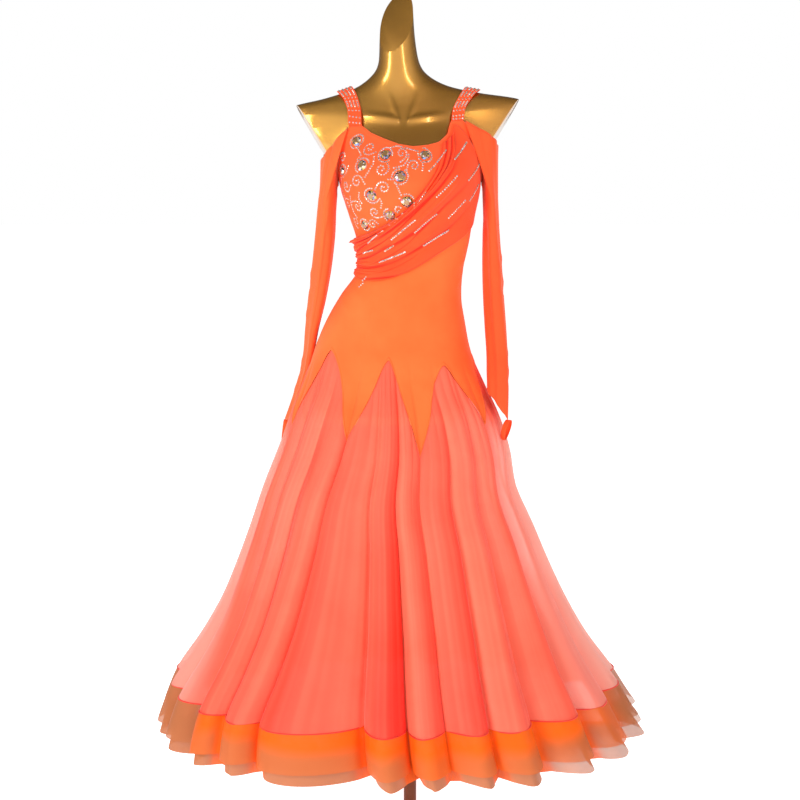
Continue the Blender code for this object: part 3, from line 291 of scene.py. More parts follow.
# Folds of the sash from its neckline end: place across it at the neckline, how it fans out, width,
# height, and where it starts and ends along the sash
SashCrease = namedtuple("SashCrease", "at fan width height start end")
SASH_CREASES = [SashCrease(*row) for row in [
    (0.965, 0.02, 0.012, 0.0030, 0.20, 1.02), (0.930, 0.04, 0.007, -0.0034, 0.10, 1.02),
    (0.895, 0.05, 0.016, 0.0036, 0.18, 1.02), (0.850, 0.08, 0.007, -0.0032, 0.08, 0.98),
    (0.810, 0.09, 0.018, 0.0030, 0.15, 0.96), (0.760, 0.12, 0.009, -0.0026, 0.08, 0.86),
    (0.700, 0.13, 0.018, 0.0024, 0.12, 0.88), (0.620, 0.16, 0.010, -0.0020, 0.06, 0.78),
    (0.520, 0.18, 0.022, 0.0020, 0.06, 0.74), (0.420, 0.20, 0.012, -0.0014, 0.06, 0.62),
    (0.280, 0.14, 0.024, 0.0014, 0.04, 0.60), (0.180, 0.10, 0.012, -0.0010, 0.04, 0.50),
]]
CHEST_METRE = 0.0021     # metres round the chest in a degree
WALL = 0.0015
TOP_COLOUR_Z = (1.27, 1.42)  # the bodice turns to its chest colour between these heights
SHEER_COVER = 0.61       # how much of the light one ply of organza stops

# Creases in the bodice: from one angle and height to another, with their width and height
Crease = namedtuple("Crease", "deg z end_deg end_z width height")
CREASES = [Crease(*row) for row in [
    (-29, 1.150, -31, 1.035, 0.0022, -0.0006),
    (-86, 1.352, -58, 1.392, 0.006, 0.0012), (-84, 1.330, -52, 1.352, 0.007, 0.0009),
    (-80, 1.300, -42, 1.300, 0.008, 0.0008),
    (84, 1.352, 70, 1.380, 0.006, 0.0010),
    (-85, 1.180, -40, 1.150, 0.007, 0.0010), (-85, 1.165, -50, 1.120, 0.006, 0.0008),
    (-80, 1.200, -30, 1.178, 0.005, 0.0007),
    (84, 1.230, 40, 1.200, 0.008, 0.0009), (84, 1.200, 45, 1.150, 0.007, 0.0007),
    (-20, 1.010, -6, 0.905, 0.009, 0.0010), (20, 1.000, 12, 0.900, 0.008, 0.0009),
    (60, 0.990, 52, 0.890, 0.008, 0.0008), (-62, 1.000, -58, 0.900, 0.008, 0.0009),
    (95, 1.200, 130, 1.180, 0.007, 0.0009), (-96, 1.205, -130, 1.180, 0.007, 0.0009),
    (100, 1.250, 125, 1.262, 0.007, 0.0008), (-100, 1.250, -128, 1.268, 0.007, 0.0008),
    (150, 1.000, 158, 0.905, 0.009, 0.0009), (-140, 1.000, -134, 0.905, 0.009, 0.0009),
]]

# The collar bones moulded in the form: where they meet, their slope, width and height, and where
# they rise and fade out from the middle
Collar = namedtuple("Collar", "x z slope width height start rise end fade")
COLLAR = Collar(-0.014, 1.496, 0.14, 0.008, 0.0042, 0.003, 0.008, 0.045, 0.05)
# The two cords of the neck: distance from the middle, lean, width, share of the bones' height, and
# how far below and above the bones' meeting point they rise and fade
NeckCord = namedtuple("NeckCord", "away lean width share start rise end fade")
NECK_CORD = NeckCord(0.011, 0.30, 0.006, 0.8, -0.006, 0.010, 0.015, 0.05)

# Lines of small stones on the sash and just below it: angle, height, end angle, end height
SASH_LINES = [
    (33.7, 1.4338, 15.7, 1.3991), (57.9, 1.4503, 38.6, 1.4182), (66.0, 1.4119, 50.0, 1.3828),
    (37.3, 1.3892, 21.0, 1.3545), (66.1, 1.3738, 55.1, 1.3454), (48.5, 1.3459, 34.4, 1.3141),
    (11.4, 1.3631, 2.6, 1.3365), (22.9, 1.3207, 2.3, 1.2863), (3.2, 1.3114, -22.7, 1.2739),
    (-26.6, 1.2959, -50.4, 1.2638), (36.6, 1.2888, 11.9, 1.2594), (-22.9, 1.2592, -32.2, 1.2485),
    (-45.8, 1.2498, -58.7, 1.2425), (-9.8, 1.2470, -38.4, 1.2253), (-51.1, 1.1902, -56.5, 1.1728),
]

# Scrolls of small stones: angle and height of the middle, size, start, turns, tail
SCROLLS = [
    (-40, 1.440, 0.0125, 200, 1.25, 0.012), (-8, 1.430, 0.0115, 20, -1.2, 0.010),
    (-68, 1.425, 0.0110, 90, 1.2, 0.010), (-24, 1.402, 0.0125, 300, 1.25, 0.012),
    (-46, 1.380, 0.0125, 120, -1.25, 0.012), (-61, 1.372, 0.0115, 250, 1.2, 0.010),
    (-22, 1.369, 0.0115, 60, 1.25, 0.010), (-12, 1.327, 0.0105, 340, -1.15, 0.008),
    (-52, 1.333, 0.0115, 30, 1.2, 0.010), (-68, 1.338, 0.0105, 150, -1.2, 0.010),
    (-34, 1.323, 0.0110, 210, 1.2, 0.010), (3, 1.408, 0.0105, 110, 1.15, 0.010),
    (-40, 1.299, 0.0100, 80, -1.1, 0.008), (-62, 1.303, 0.0095, 180, 1.1, 0.008),
]

# Curved stems of small stones between the scrolls, as corners of angle and height
VINES = [
    [(-60, 1.446), (-52, 1.441), (-46, 1.428), (-48, 1.420)],
    [(-20, 1.440), (-14, 1.444), (-6, 1.441), (2, 1.437), (8, 1.434)],
    [(-33, 1.424), (-32, 1.412), (-35, 1.398), (-38, 1.388)],
    [(-57, 1.408), (-60, 1.396), (-66, 1.390)],
    [(-14, 1.404), (-6, 1.408), (-2, 1.418), (-1, 1.428)],
    [(-12, 1.380), (-10, 1.368), (-8, 1.356)],
    [(-32, 1.362), (-27, 1.352), (-25, 1.342), (-27, 1.332)],
    [(-45, 1.360), (-47, 1.348), (-45, 1.340)],
    [(-70, 1.386), (-73, 1.374), (-74, 1.360), (-72, 1.350)],
    [(-58, 1.352), (-60, 1.342), (-61, 1.324), (-58, 1.312)],
    [(-10, 1.384), (-18, 1.384)],
    [(8, 1.420), (11, 1.412), (10, 1.400)],
]

# Tints of the stones' facets in linear light: foil and coat colours, and painted reflections
CRYSTAL_FOIL_AND_REFLECTIONS = [(0.36, 0.19, 0.07), (0.06, 0.03, 0.02), (0.62, 0.55, 0.45), (0.72, 0.22, 0.30),
                 (0.85, 0.52, 0.06), (0.20, 0.28, 0.55), (0.03, 0.015, 0.01), (0.90, 0.86, 0.78),
                 (0.50, 0.28, 0.08), (0.14, 0.08, 0.04)]
STONE_FOIL_AND_REFLECTIONS = [(0.60, 0.50, 0.41), (0.38, 0.24, 0.15), (0.92, 0.86, 0.79), (0.16, 0.09, 0.06),
               (0.68, 0.38, 0.34), (0.46, 0.49, 0.62), (0.70, 0.53, 0.24), (0.78, 0.68, 0.60)]

# Lamps, their sizes in metres and power in watts; mirrored ones show in the glossy pieces
Lamp = namedtuple("Lamp", "name place target width height power mirrored")
LAMPS = [Lamp(*row) for row in [
    ("key", (-2.4, -3.0, 2.3), (0, 0, 1.1), 0.9, 2.6, 58, False),
    ("fill", (2.3, -3.1, 1.9), (0, 0, 1.0), 0.5, 2.4, 30, False),
    ("top", (0.2, -0.4, 3.6), (0, 0, 1.2), 2.4, 1.6, 22, False),
    ("rim", (1.6, 2.2, 2.4), (0, 0, 1.1), 1.4, 2.0, 22, False),
    ("rim_left", (-1.8, 2.0, 2.0), (0, 0, 1.1), 1.2, 2.0, 14, False),
    ("strip_left", (-2.2, -2.4, 1.9), (0, 0, 1.5), 0.50, 2.0, 26.0, True),
    ("strip_right", (1.1, -3.2, 2.3), (0, 0, 1.5), 0.22, 1.6, 9.0, True),
]]

# The studio that glossy pieces mirror, from the front to the back: place in the ramp and grey
SURROUND = [(0.0, 1.00), (0.18, 0.80), (0.42, 0.42), (0.68, 0.18), (1.0, 0.12)]
# And from below to above, as a share of that
CEILING = [(0.0, 1.0), (0.56, 1.0), (0.72, 0.76), (0.88, 0.50), (1.0, 0.40)]


class Profile:
    """Smooth curves through a table whose first column is the key."""

    def __init__(self, rows):
        data = np.array([tuple(r) for r in rows], float)
        data = data[np.argsort(data[:, 0])]
        self.key, self.value = data[:, 0], data[:, 1:]
        self.slope = np.gradient(self.value, self.key, axis=0)

    def __call__(self, key):
        key = np.clip(np.asarray(key, float), self.key[0], self.key[-1])
        i = np.clip(np.searchsorted(self.key, key, "right") - 1, 0, len(self.key) - 2)
        span = (self.key[i + 1] - self.key[i])[..., None]
        u = (key - self.key[i])[..., None] / span
        a, b = self.value[i], self.value[i + 1]
        sa, sb = self.slope[i] * span, self.slope[i + 1] * span
        return ((2 * u**3 - 3 * u**2 + 1) * a + (u**3 - 2 * u**2 + u) * sa
                + (3 * u**2 - 2 * u**3) * b + (u**3 - u**2) * sb)


BODY_PROFILE = Profile(BODY)
BODY_CENTRE = BodyRing._fields.index("centre") - 1  # its place among the profile's values
SKIRT_PROFILE = Profile(SKIRT)


def through(table, at):
    """Straight lines through a table of pairs."""
    return np.interp(at, *zip(*table))


def ease(x):
    """0 below 0, 1 above 1 and a smooth step between."""
    x = np.clip(x, 0.0, 1.0)
    return x * x * (3 - 2 * x)


def rising(x, start, reach):
    """0 up to a start and 1 beyond its reach."""
    return ease((x - start) / reach)


def fading(x, start, reach):
    return 1 - rising(x, start, reach)


def bell(x, width, power=2):
    """1 at 0, fading to both sides."""
    return np.exp(-(x / width) ** power)


def mix(a, b, share):
    return a * (1 - share) + b * share


def unit(v):
    return v / np.maximum(np.linalg.norm(v, axis=-1, keepdims=True), 1e-12)


def oval(sine, cosine, half, depth, power):
    """Distance from the middle to an oval's edge in one direction."""
    return (np.abs(sine / half) ** power + np.abs(cosine / depth) ** power) ** (-1 / power)


# -------- the dress's two surfaces

def body_point(deg, ring):
    """Points of the skin that the dress is cut to."""
    z_side, z_front, z_back, centre, half, front, back, arm, arm_depth, tilt = np.moveaxis(
        BODY_PROFILE(ring), -1, 0)
    s, c = np.sin(np.radians(deg)), np.cos(np.radians(deg))
    torso = oval(s, c, half, np.where(c > 0, front, back), ROUNDNESS)
    stub = oval(s, c, arm, arm_depth, 2)
    r = (torso**ARM_MERGE + stub**ARM_MERGE) ** (1 / ARM_MERGE)
    z = z_side * s * s + np.where(c > 0, z_front, z_back) * c * c + tilt * r * s
    return np.stack([centre + r * s, -r * c, z], -1)


def body_normal(deg, ring, across=2, up=0.1):
    over = body_point(deg + across, ring) - body_point(deg - across, ring)
    rise = body_point(deg, ring + up) - body_point(deg, ring - up)
    return unit(np.cross(over, rise))


def closed_in(low, high, below, times):
    """The two close rings between which a test stops holding, found by halving."""
    for _ in range(times):
        middle = (low + high) / 2
        held = below(middle)
        low, high = np.where(held, middle, low), np.where(held, high, middle)
    return low, high


def ring_at(deg, z):
    """The ring number at which the skin has height z in this direction."""
    low, high = closed_in(np.zeros(np.shape(z)), np.full(np.shape(z), NECK_RING),
                          lambda ring: body_point(deg, ring)[..., 2] < z, 26)
    return (low + high) / 2


def on_body(deg, z, off):
    """Points off the skin, at angles and heights."""
    deg, z = np.broadcast_arrays(np.asarray(deg, float), np.asarray(z, float))
    ring = ring_at(deg, z)
    return body_point(deg, ring) + np.asarray(off)[..., None] * body_normal(deg, ring)


def cloth_off(z):
    return OFF_FORM + CHEST_EASE * rising(np.asarray(z), CHEST_Z, CHEST_FADE)


def top_edge(line):
    """(angle at the chest, height) of the bodice's top edge."""
    line = (np.asarray(line, float) - FRONT_LINE) % FLUTE_COUNT
    found = []
    for key in ("deg", "z"):
        front, back = (np.interp((line - start) / 0.5, [r.column for r in rows],
                                 [getattr(r, key) for r in rows])
                       for rows, start in ((FRONT_TOP, 0), (BACK_TOP, FLUTE_COUNT / 2)))
        found.append(np.where(line <= FLUTE_COUNT / 2, front, back))
    return found


def hip_deg(line):
    """The angle of a line at the hip."""
    turn = np.where(line < HIP_PLACES[0].line, 1, 0)
    return through(HIP_PLACES, line + FLUTE_COUNT * turn) - 360 * turn


def line_deg(line, z):
    """The angle of a line at a height: it moves from the chest to the hip to the hem."""
    line, z = np.broadcast_arrays(np.asarray(line, float), np.asarray(z, float))
    turns, line = np.divmod(line, FLUTE_COUNT)
    hip = hip_deg(line)
    chest = top_edge(line)[0]
    chest = np.where(chest - hip > 180, chest - 360, chest)
    upper = mix(hip, chest, rising(z, WAIST_Z, WAIST_FADE))
    hem = np.interp(line, range(FLUTE_COUNT + 1),
                    [v.hem_deg for v in VALLEYS] + [VALLEYS[0].hem_deg + 360])
    lower = mix(hip, hem, np.clip((HIP_Z - z) / (HIP_Z - HEM_SEAM_Z), 0, 1))
    return np.where(z > WAIST_Z, upper, lower) + 360 * turns


def skirt_point(line, z):
    """Points of the fluted skirt, whose valleys deepen towards the hem."""
    line, z = np.broadcast_arrays(np.asarray(line, float), np.asarray(z, float))
    centre, half, front, back = np.moveaxis(SKIRT_PROFILE(z), -1, 0)
    deg = np.radians(line_deg(line, z))
    s, c = np.sin(deg), np.cos(deg)
    depth = np.interp(line % FLUTE_COUNT, range(FLUTE_COUNT + 1),
                      [v.depth for v in VALLEYS] + [VALLEYS[0].depth])
    grow = np.maximum(0.0, (FLUTE_START_Z - z) / (FLUTE_START_Z - UNDER_HEM_Z))
    r = oval(s, c, half, np.where(c > 0, front, back), ROUNDNESS)
    lean = np.array(FLUTE_LEANS)[np.floor(line).astype(int) % FLUTE_COUNT]
    r = r - depth * grow * (1 - np.sin(np.pi * (line % 1) ** lean) ** FLUTE_SHAPE)
    return np.stack([centre + r * s, -r * c, z], -1)


def dress_point(line, z):
    """Points of the dress's outer face."""
    line, z = np.broadcast_arrays(np.asarray(line, float), np.asarray(z, float))
    share = rising(z, BODICE_END_Z, BODICE_FADE)[..., None]
    bodice = on_body(line_deg(line, z), z, cloth_off(z))
    return mix(skirt_point(line, z), bodice, share)


def outward(points_at, line, z, across=0.04, up=0.003):
    """Outward normals of a surface of lines and heights, from four points round each place."""
    over = points_at(line + across, z) - points_at(line - across, z)
    rise = points_at(line, z + up) - points_at(line, z - up)
    return unit(np.cross(over, rise))


def zigzag_z(line):
    """Height of the zigzag edge between the bodice and the godets."""
    line = np.asarray(line, float)
    number = np.floor((line + 1) / FLUTES_PER_GODET)
    away = (line - number * FLUTES_PER_GODET - FRONT_LINE) / (FLUTES_PER_GODET / 2)
    godet = number.astype(int) % GODET_COUNT
    tip = np.where(away > 0, np.array(TIP_Z)[godet], np.array(TIP_Z)[godet - 1])
    return mix(np.array(APEX_Z)[godet], tip, np.abs(away) ** ARCH_POWER)


SINES = (1, 2, 3)
SEED_STEP = 1.7
SINE_SUM = 1.8           # about the most that the sines, each a k-th as high, add up to


def drift(seed, *waves):
    """A smooth uneven value round 0 from a few sines of the given coordinates."""
    total = 0.0
    for k in SINES:
        total = total + np.sin(sum(w * (1.0 + 0.73 * k * (i + 1)) for i, w in enumerate(waves))
                               + seed * SEED_STEP * k) / k
    return total / SINE_SUM


def ring_drift(seed, line, waves, level=0.0):
    """A smooth uneven value round 0 that meets itself after a turn of the skirt."""
    turn = 2 * np.pi * line / FLUTE_COUNT
    total = 0.0
    for k in SINES:
        total = total + np.sin((waves * k + k - 1) * turn + (1 + k) * level
                               + seed * SEED_STEP * k) / k
    return total / SINE_SUM


# -------- meshes and materials

def activate(obj):
    """Selects this object alone."""
    bpy.ops.object.select_all(action="DESELECT")
    obj.select_set(True)
    bpy.context.view_layer.objects.active = obj


def new_object(name, points, faces, uvs=None, smooth=True):
    """An object from points and faces; uvs gives one pair for each point."""
    mesh = bpy.data.meshes.new(name)
    mesh.from_pydata([tuple(p) for p in points], [], faces)
    if uvs is not None:
        layer = mesh.uv_layers.new(name="Cloth")
        corner = np.empty(len(mesh.loops), int)
        mesh.loops.foreach_get("vertex_index", corner)
        layer.data.foreach_set("uv", np.asarray(uvs, float)[corner].ravel())
    if smooth:
        mesh.shade_smooth()
    mesh.update()
    made = bpy.data.objects.new(name, mesh)
    bpy.context.scene.collection.objects.link(made)
    return made


def grid_object(name, grid, closed=False, uvs=None):
    """A sheet from rows and columns of points; the columns join up where closed."""
    rows, columns = grid.shape[:2]
    spans = columns if closed else columns - 1
    faces = [(i * columns + j, (i + 1) * columns + j,
              (i + 1) * columns + (j + 1) % columns, i * columns + (j + 1) % columns)
             for i in range(rows - 1) for j in range(spans)]
    flat = None if uvs is None else uvs.reshape(-1, 2)
    return new_object(name, grid.reshape(-1, 3), faces, flat)


def attribute(obj, name, values):
    """A number at each point, for the materials."""
    attributes = obj.data.attributes
    made = attributes.get(name) or attributes.new(name, "FLOAT", "POINT")
    made.data.foreach_set("value", np.asarray(values, float).ravel())


def even_normals(obj, merge=None):
    """Turns all faces of a closed mesh outwards, after merging points nearer than that."""
    activate(obj)
    bpy.ops.object.mode_set(mode="EDIT")
    bpy.ops.mesh.select_all(action="SELECT")
    if merge:
        bpy.ops.mesh.remove_doubles(threshold=merge)
    bpy.ops.mesh.normals_make_consistent(inside=False)
    bpy.ops.object.mode_set(mode="OBJECT")


def face_along(obj, normal):
    """Turns a sheet's faces so that its first one points along this normal."""
    if obj.data.polygons[0].normal @ Vector(normal) < 0:
        obj.data.flip_normals()


def thicken(obj, thickness):
    """Gives a sheet its thickness, inwards."""
    activate(obj)
    solid = obj.modifiers.new("Thickness", "SOLIDIFY")
    solid.thickness = thickness
    solid.offset = -1
    solid.use_rim = True
    bpy.ops.object.modifier_apply(modifier=solid.name)


def dress(obj, material, replaces=()):
    """Gives a piece its material, its place on the body and the solids it stands for."""
    obj.data.materials.clear()
    obj.data.materials.append(material)
    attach(obj, "root")
    if replaces:
        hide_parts(*replaces)
    return obj


def linear(colour):
    """Linear light from a screen colour of 0 to 255."""
    c = np.asarray(colour, float) / 255
    return tuple(float(v) for v in np.where(c <= 0.04045, c / 12.92, ((c + 0.055) / 1.055) ** 2.4))


def darker(colour, share=0.8):
    return tuple(c * share for c in colour)


class Nodes:
    """A few short ways to lay out a tree of nodes."""

    def __init__(self, tree):
        self.tree = tree

    def add(self, kind, **settings):
        node = self.tree.nodes.new(kind)
        for key, value in settings.items():
            setattr(node, key, value)
        return node

    def link(self, source, target):
        self.tree.links.new(source, target)

    def coords(self, kind="Object"):
        return self.add("ShaderNodeTexCoord").outputs[kind]

    def noise(self, scale, detail=3.0, roughness=0.55, vector=None):
        node = self.add("ShaderNodeTexNoise")
        node.inputs["Scale"].default_value = scale
        node.inputs["Detail"].default_value = detail
        node.inputs["Roughness"].default_value = roughness
        self.link(vector or self.coords(), node.inputs["Vector"])
        return node.outputs["Fac"]

    def wave(self, scale, direction, distortion=0.0, vector=None):
        node = self.add("ShaderNodeTexWave", bands_direction=direction)
        node.inputs["Scale"].default_value = scale
        node.inputs["Distortion"].default_value = distortion
        self.link(vector or self.coords(), node.inputs["Vector"])
        return node.outputs["Fac"]

    def ramp(self, value, *stops):
        node = self.add("ShaderNodeValToRGB")
        while len(node.color_ramp.elements) < len(stops):
            node.color_ramp.elements.new(0.5)
        for element, (at, colour) in zip(node.color_ramp.elements, stops):
            element.position = at
            element.color = (*colour, 1)
        self.link(value, node.inputs["Fac"])
        return node.outputs["Color"]

    def span(self, value, low, high, start=0.0, end=1.0):
        node = self.add("ShaderNodeMapRange")
        for key, number in zip(("From Min", "From Max", "To Min", "To Max"),
                               (start, end, low, high)):
            node.inputs[key].default_value = number
        self.link(value, node.inputs["Value"])
        return node.outputs["Result"]

    def blend(self, a, b, share, way="MIX"):
        node = self.add("ShaderNodeMix", data_type="RGBA", blend_type=way)
        factor, first, second = node.inputs[0], node.inputs[6], node.inputs[7]
        for value, socket in ((a, first), (b, second), (share, factor)):
            if isinstance(value, tuple):
                socket.default_value = (*value, 1)
            elif isinstance(value, (int, float)):
                socket.default_value = value
            else:
                self.link(value, socket)
        return node.outputs[2]

    def maths(self, operation, a, b=0.0):
        node = self.add("ShaderNodeMath", operation=operation)
        for value, socket in ((a, node.inputs[0]), (b, node.inputs[1])):
            if isinstance(value, (int, float)):
                socket.default_value = value
            else:
                self.link(value, socket)
        return node.outputs["Value"]


class Finish(Nodes):
    """A new material and the nodes that feed its shader."""

    def __init__(self, name):
        self.material = bpy.data.materials.new(name)
        self.material.use_nodes = True
        super().__init__(self.material.node_tree)
        self.shader = self.tree.nodes["Principled BSDF"]

    def set(self, **values):
        for key, value in values.items():
            self.shader.inputs[key.replace("_", " ")].default_value = value

    def drive(self, **sources):
        for key, source in sources.items():
            self.link(source, self.shader.inputs[key.replace("_", " ")])

    def bump(self, height, strength, distance):
        node = self.add("ShaderNodeBump")
        node.inputs["Strength"].default_value = strength
        node.inputs["Distance"].default_value = distance
        self.link(height, node.inputs["Height"])
        self.drive(Normal=node.outputs["Normal"])

    def value(self, name):
        return self.add("ShaderNodeAttribute", attribute_name=name).outputs["Fac"]


def knit_material(name, colour, shade, rough, sheen, top=None, fold=None):
    """Matt stretch jersey: a fine knit, soft pulls and a faint nap.

    Top is its colour up high, fold its painted shade deep in the folds."""
    n = Finish(name)
    uv = n.coords("UV")
    knit = n.maths("MULTIPLY", n.wave(420.0, "X", vector=uv), n.wave(300.0, "Y", vector=uv))
    fine = n.noise(900.0, detail=2.0)
    tone = n.ramp(n.noise(7.0, detail=4.0), (0.32, shade), (0.68, colour))
    if top:
        split = n.add("ShaderNodeSeparateXYZ")
        n.link(n.coords(), split.inputs[0])
        tone = n.blend(tone, top, n.span(split.outputs["Z"], 0.0, 1.0, *TOP_COLOUR_Z))
    # Painted shade deep in the folds
    if fold:
        tone = n.blend(tone, fold, n.value("fold"))
    n.bump(n.maths("ADD", knit, n.maths("MULTIPLY", fine, 0.6)), 0.22, 0.0004)
    n.drive(Base_Color=n.blend(tone, shade, n.span(knit, 0.0, 0.10)),
            Roughness=n.span(fine, rough - 0.06, rough + 0.06))
    n.set(Sheen_Weight=sheen, Sheen_Roughness=0.45, Specular_IOR_Level=0.25,
          Sheen_Tint=(1.0, 0.75, 0.6, 1))
    return n.material


def sheer_material(name, light, deep, pale):
    """Satin organza: see-through where it is one ply, denser where gathered, with painted shade."""
    n = Finish(name)
    uv = n.coords("UV")
    threads = n.maths("ADD", n.wave(260.0, "X", 1.5, uv), n.wave(260.0, "Y", 1.5, uv))
    streaks = n.noise(9.0, detail=4.0, roughness=0.6)
    # light is the lit organza and deep its painted shade, picked by the valley value
    tone = n.blend(light, deep, n.value("valley"))
    tone = n.blend(tone, deep, n.span(streaks, 0.0, 0.22, 0.4, 0.8))
    n.bump(threads, 0.12, 0.0003)
    n.drive(Base_Color=n.blend(pale, tone, n.value("ply")),
            Alpha=n.maths("MULTIPLY", n.value("cover"), n.span(threads, 0.97, 1.0, 0.0, 2.0)))
    n.set(Roughness=0.55, Sheen_Weight=0.25, Sheen_Roughness=0.35, Specular_IOR_Level=0.3,
          Sheen_Tint=(1.0, 0.8, 0.75, 1))
    return n.material


def braid_material(name, colour, pale):
    """Horsehair braid: crossed stiff threads that let the light through."""
    n = Finish(name)
    turned = n.add("ShaderNodeMapping")
    turned.inputs["Rotation"].default_value = (0, 0, math.radians(45))
    n.link(n.coords("UV"), turned.inputs["Vector"])
    mesh = n.maths("MAXIMUM", *(n.wave(170.0, way, 0.6, turned.outputs["Vector"])
                                for way in ("X", "Y")))
    patches = n.noise(14.0, detail=5.0, roughness=0.65)
    thin = n.maths("SUBTRACT", 1.0, n.value("ply"))
    share = n.maths("MAXIMUM", n.span(patches, 0.0, 0.34, 0.45, 0.8), thin)
    n.bump(mesh, 0.3, 0.0004)
    n.drive(Base_Color=n.blend(n.blend(colour, pale, share), pale, n.span(mesh, 0.10, 0.0)),
            Alpha=n.maths("MULTIPLY", n.value("cover"), n.span(mesh, 0.92, 1.04)))
    n.set(Roughness=0.55, Specular_IOR_Level=0.12)
    return n.material


def gold_material(name, colour, edge):
    """Glossy gold lacquer over a moulded torso, faintly uneven."""
    n = Finish(name)
    cloud = n.noise(5.0)
    n.bump(n.noise(16.0, detail=2.0), 0.03, 0.004)
    n.drive(Base_Color=n.ramp(cloud, (0.3, edge), (0.7, colour)),
            Roughness=n.span(cloud, 0.20, 0.26))
    n.set(Metallic=0.85, Coat_Weight=1.0, Coat_Roughness=0.09)
    return n.material


def metal_material(name, colour):
    """Satin bronze toned tube with fine lines along it."""
    n = Finish(name)
    lines = n.noise(60.0, detail=4.0, roughness=0.6)
    n.bump(n.noise(700.0, detail=2.0), 0.04, 0.0005)
    n.drive(Base_Color=n.ramp(lines, (0.3, darker(colour)), (0.7, colour)),
            Roughness=n.span(lines, 0.24, 0.36))
    n.set(Metallic=1.0)
    return n.material


def stone_material(name, rough, coat):
    """Foiled glass stones, each facet its own tint: foil and coat colours, and painted reflections.
    """
    n = Finish(name)
    tint = n.add("ShaderNodeAttribute", attribute_name="tint").outputs["Color"]
    cloud = n.noise(220.0, detail=2.0)
    n.drive(Base_Color=n.blend(tint, (0.9, 0.8, 0.7), n.span(cloud, 0.0, 0.10, 0.45, 0.75)))
    n.set(Metallic=0.55, Roughness=rough, Coat_Weight=coat, Coat_Roughness=0.02)
    return n.material


def thread_material(name, colour):
    """Twisted sewing thread."""
    n = Finish(name)
    twist = n.noise(1500.0, detail=2.0)
    n.bump(twist, 0.2, 0.0002)
    n.drive(Base_Color=n.ramp(twist, (0.3, darker(colour)), (0.7, colour)))
    n.set(Roughness=0.55, Sheen_Weight=0.15, Sheen_Roughness=0.4)
    return n.material


# -------- settings

def length_setting(name, description, default):
    return bpy.props.FloatProperty(name=name, description=description, default=default,
                                   unit="LENGTH")


def colour_setting(name, description, screen):
    """A colour setting, its default given as a screen colour of 0 to 255."""
    return bpy.props.FloatVectorProperty(name=name, description=description, subtype="COLOR",
                                         default=linear(screen))


class DressSizes(bpy.types.PropertyGroup):
    """Sizes of the dress's finish."""

    jersey_thick: length_setting("Jersey", "Thickness of the jersey", 0.0011)
    binding_width: length_setting("Binding", "Width of the bound edges", 0.006)
    binding_rise: length_setting("Binding rise", "How far the bound edges stand out", 0.0006)
    stone_radius: length_setting("Stone", "Radius of a small stone", 0.0021)
    stone_pitch: length_setting("Stone pitch", "Distance between small stones", 0.0043)
    ripple: length_setting("Ripple", "Height of the skirt's small ripples", 0.0045)
    gather: length_setting("Gathers", "Height of the gathers under the zigzag seam", 0.0040)
    stitch_length: length_setting("Stitch", "Length of a stitch", 0.0032)


class DressColours(bpy.types.PropertyGroup):
    """Colours of the dress and its form, in linear light."""

    jersey: colour_setting("Jersey", "Colour of the bodice and sleeves", (255, 112, 52))
    jersey_shade: colour_setting("Jersey shade", "Shade between the jersey's stitches",
                                 (250, 98, 40))
    jersey_top: colour_setting("Chest jersey", "Colour of the bodice at the chest", (254, 88, 42))
    # Both sleeves are the jersey in painted shade, darker than the bodice and darkest on the right
    sleeve_left: colour_setting("Left sleeve", "Colour of the left sleeve", (255, 102, 48))
    sleeve_right: colour_setting("Right sleeve", "Colour of the right sleeve", (255, 86, 38))
    chiffon: colour_setting("Chiffon", "Colour of the sash", (255, 84, 34))
    chiffon_shade: colour_setting("Chiffon shade", "Shade of the sash", (243, 70, 28))
    # Painted shade deep in the sash's folds
    chiffon_fold_shade: colour_setting("Chiffon fold", "Colour deep in the sash's folds", (226, 40, 16))
    # The organza lit and in painted shade; the rolled hem takes the shaded colour as its own
    organza: colour_setting("Organza", "Colour of the skirt's crests", (255, 120, 92))
    organza_shade_and_roll: colour_setting("Organza depth", "Colour of the skirt's valleys", (248, 50, 32))
    organza_pale: colour_setting("Single ply", "Colour of the organza where it is one ply",
                                 (255, 170, 152))
    braid: colour_setting("Braid", "Colour of the hem braid", (252, 98, 6))
    braid_pale: colour_setting("Braid threads", "Colour of the braid's bright threads",
                               (190, 112, 70))
    thread: colour_setting("Thread", "Colour of the stitching", (238, 84, 30))
    gold: colour_setting("Gold", "Colour of the form's lacquer", (214, 154, 58))
    gold_edge: colour_setting("Gold shade", "Darker colour of the lacquer", (194, 130, 42))
    bronze: colour_setting("Pole", "Colour of the pole and foot", (108, 66, 50))


class Step:
    """What the operators share."""

    bl_options = {"REGISTER"}

    def execute(self, context):
        self.make(context.scene.dress_sizes, context.scene.dress_colours)
        return {"FINISHED"}


# -------- the dress form

CUT_DEPTH = 0.12


def cut_block(cut):
    """A block with one face on a cut."""
    normal = unit(np.array(cut.normal))
    across = unit(np.cross(normal, (0, 0, 1)))
    up = np.cross(across, normal)
    points = [np.array(cut.point) + normal * n + (across * a + up * u) * cut.half
              for n in (0, CUT_DEPTH) for a, u in ((-1, -1), (1, -1), (1, 1), (-1, 1))]
    block = new_object(f"{cut.name}_block", points, [
        (0, 1, 2, 3), (4, 7, 6, 5), (0, 4, 5, 1), (1, 5, 6, 2), (2, 6, 7, 3), (3, 7, 4, 0)])
    even_normals(block)
    return block


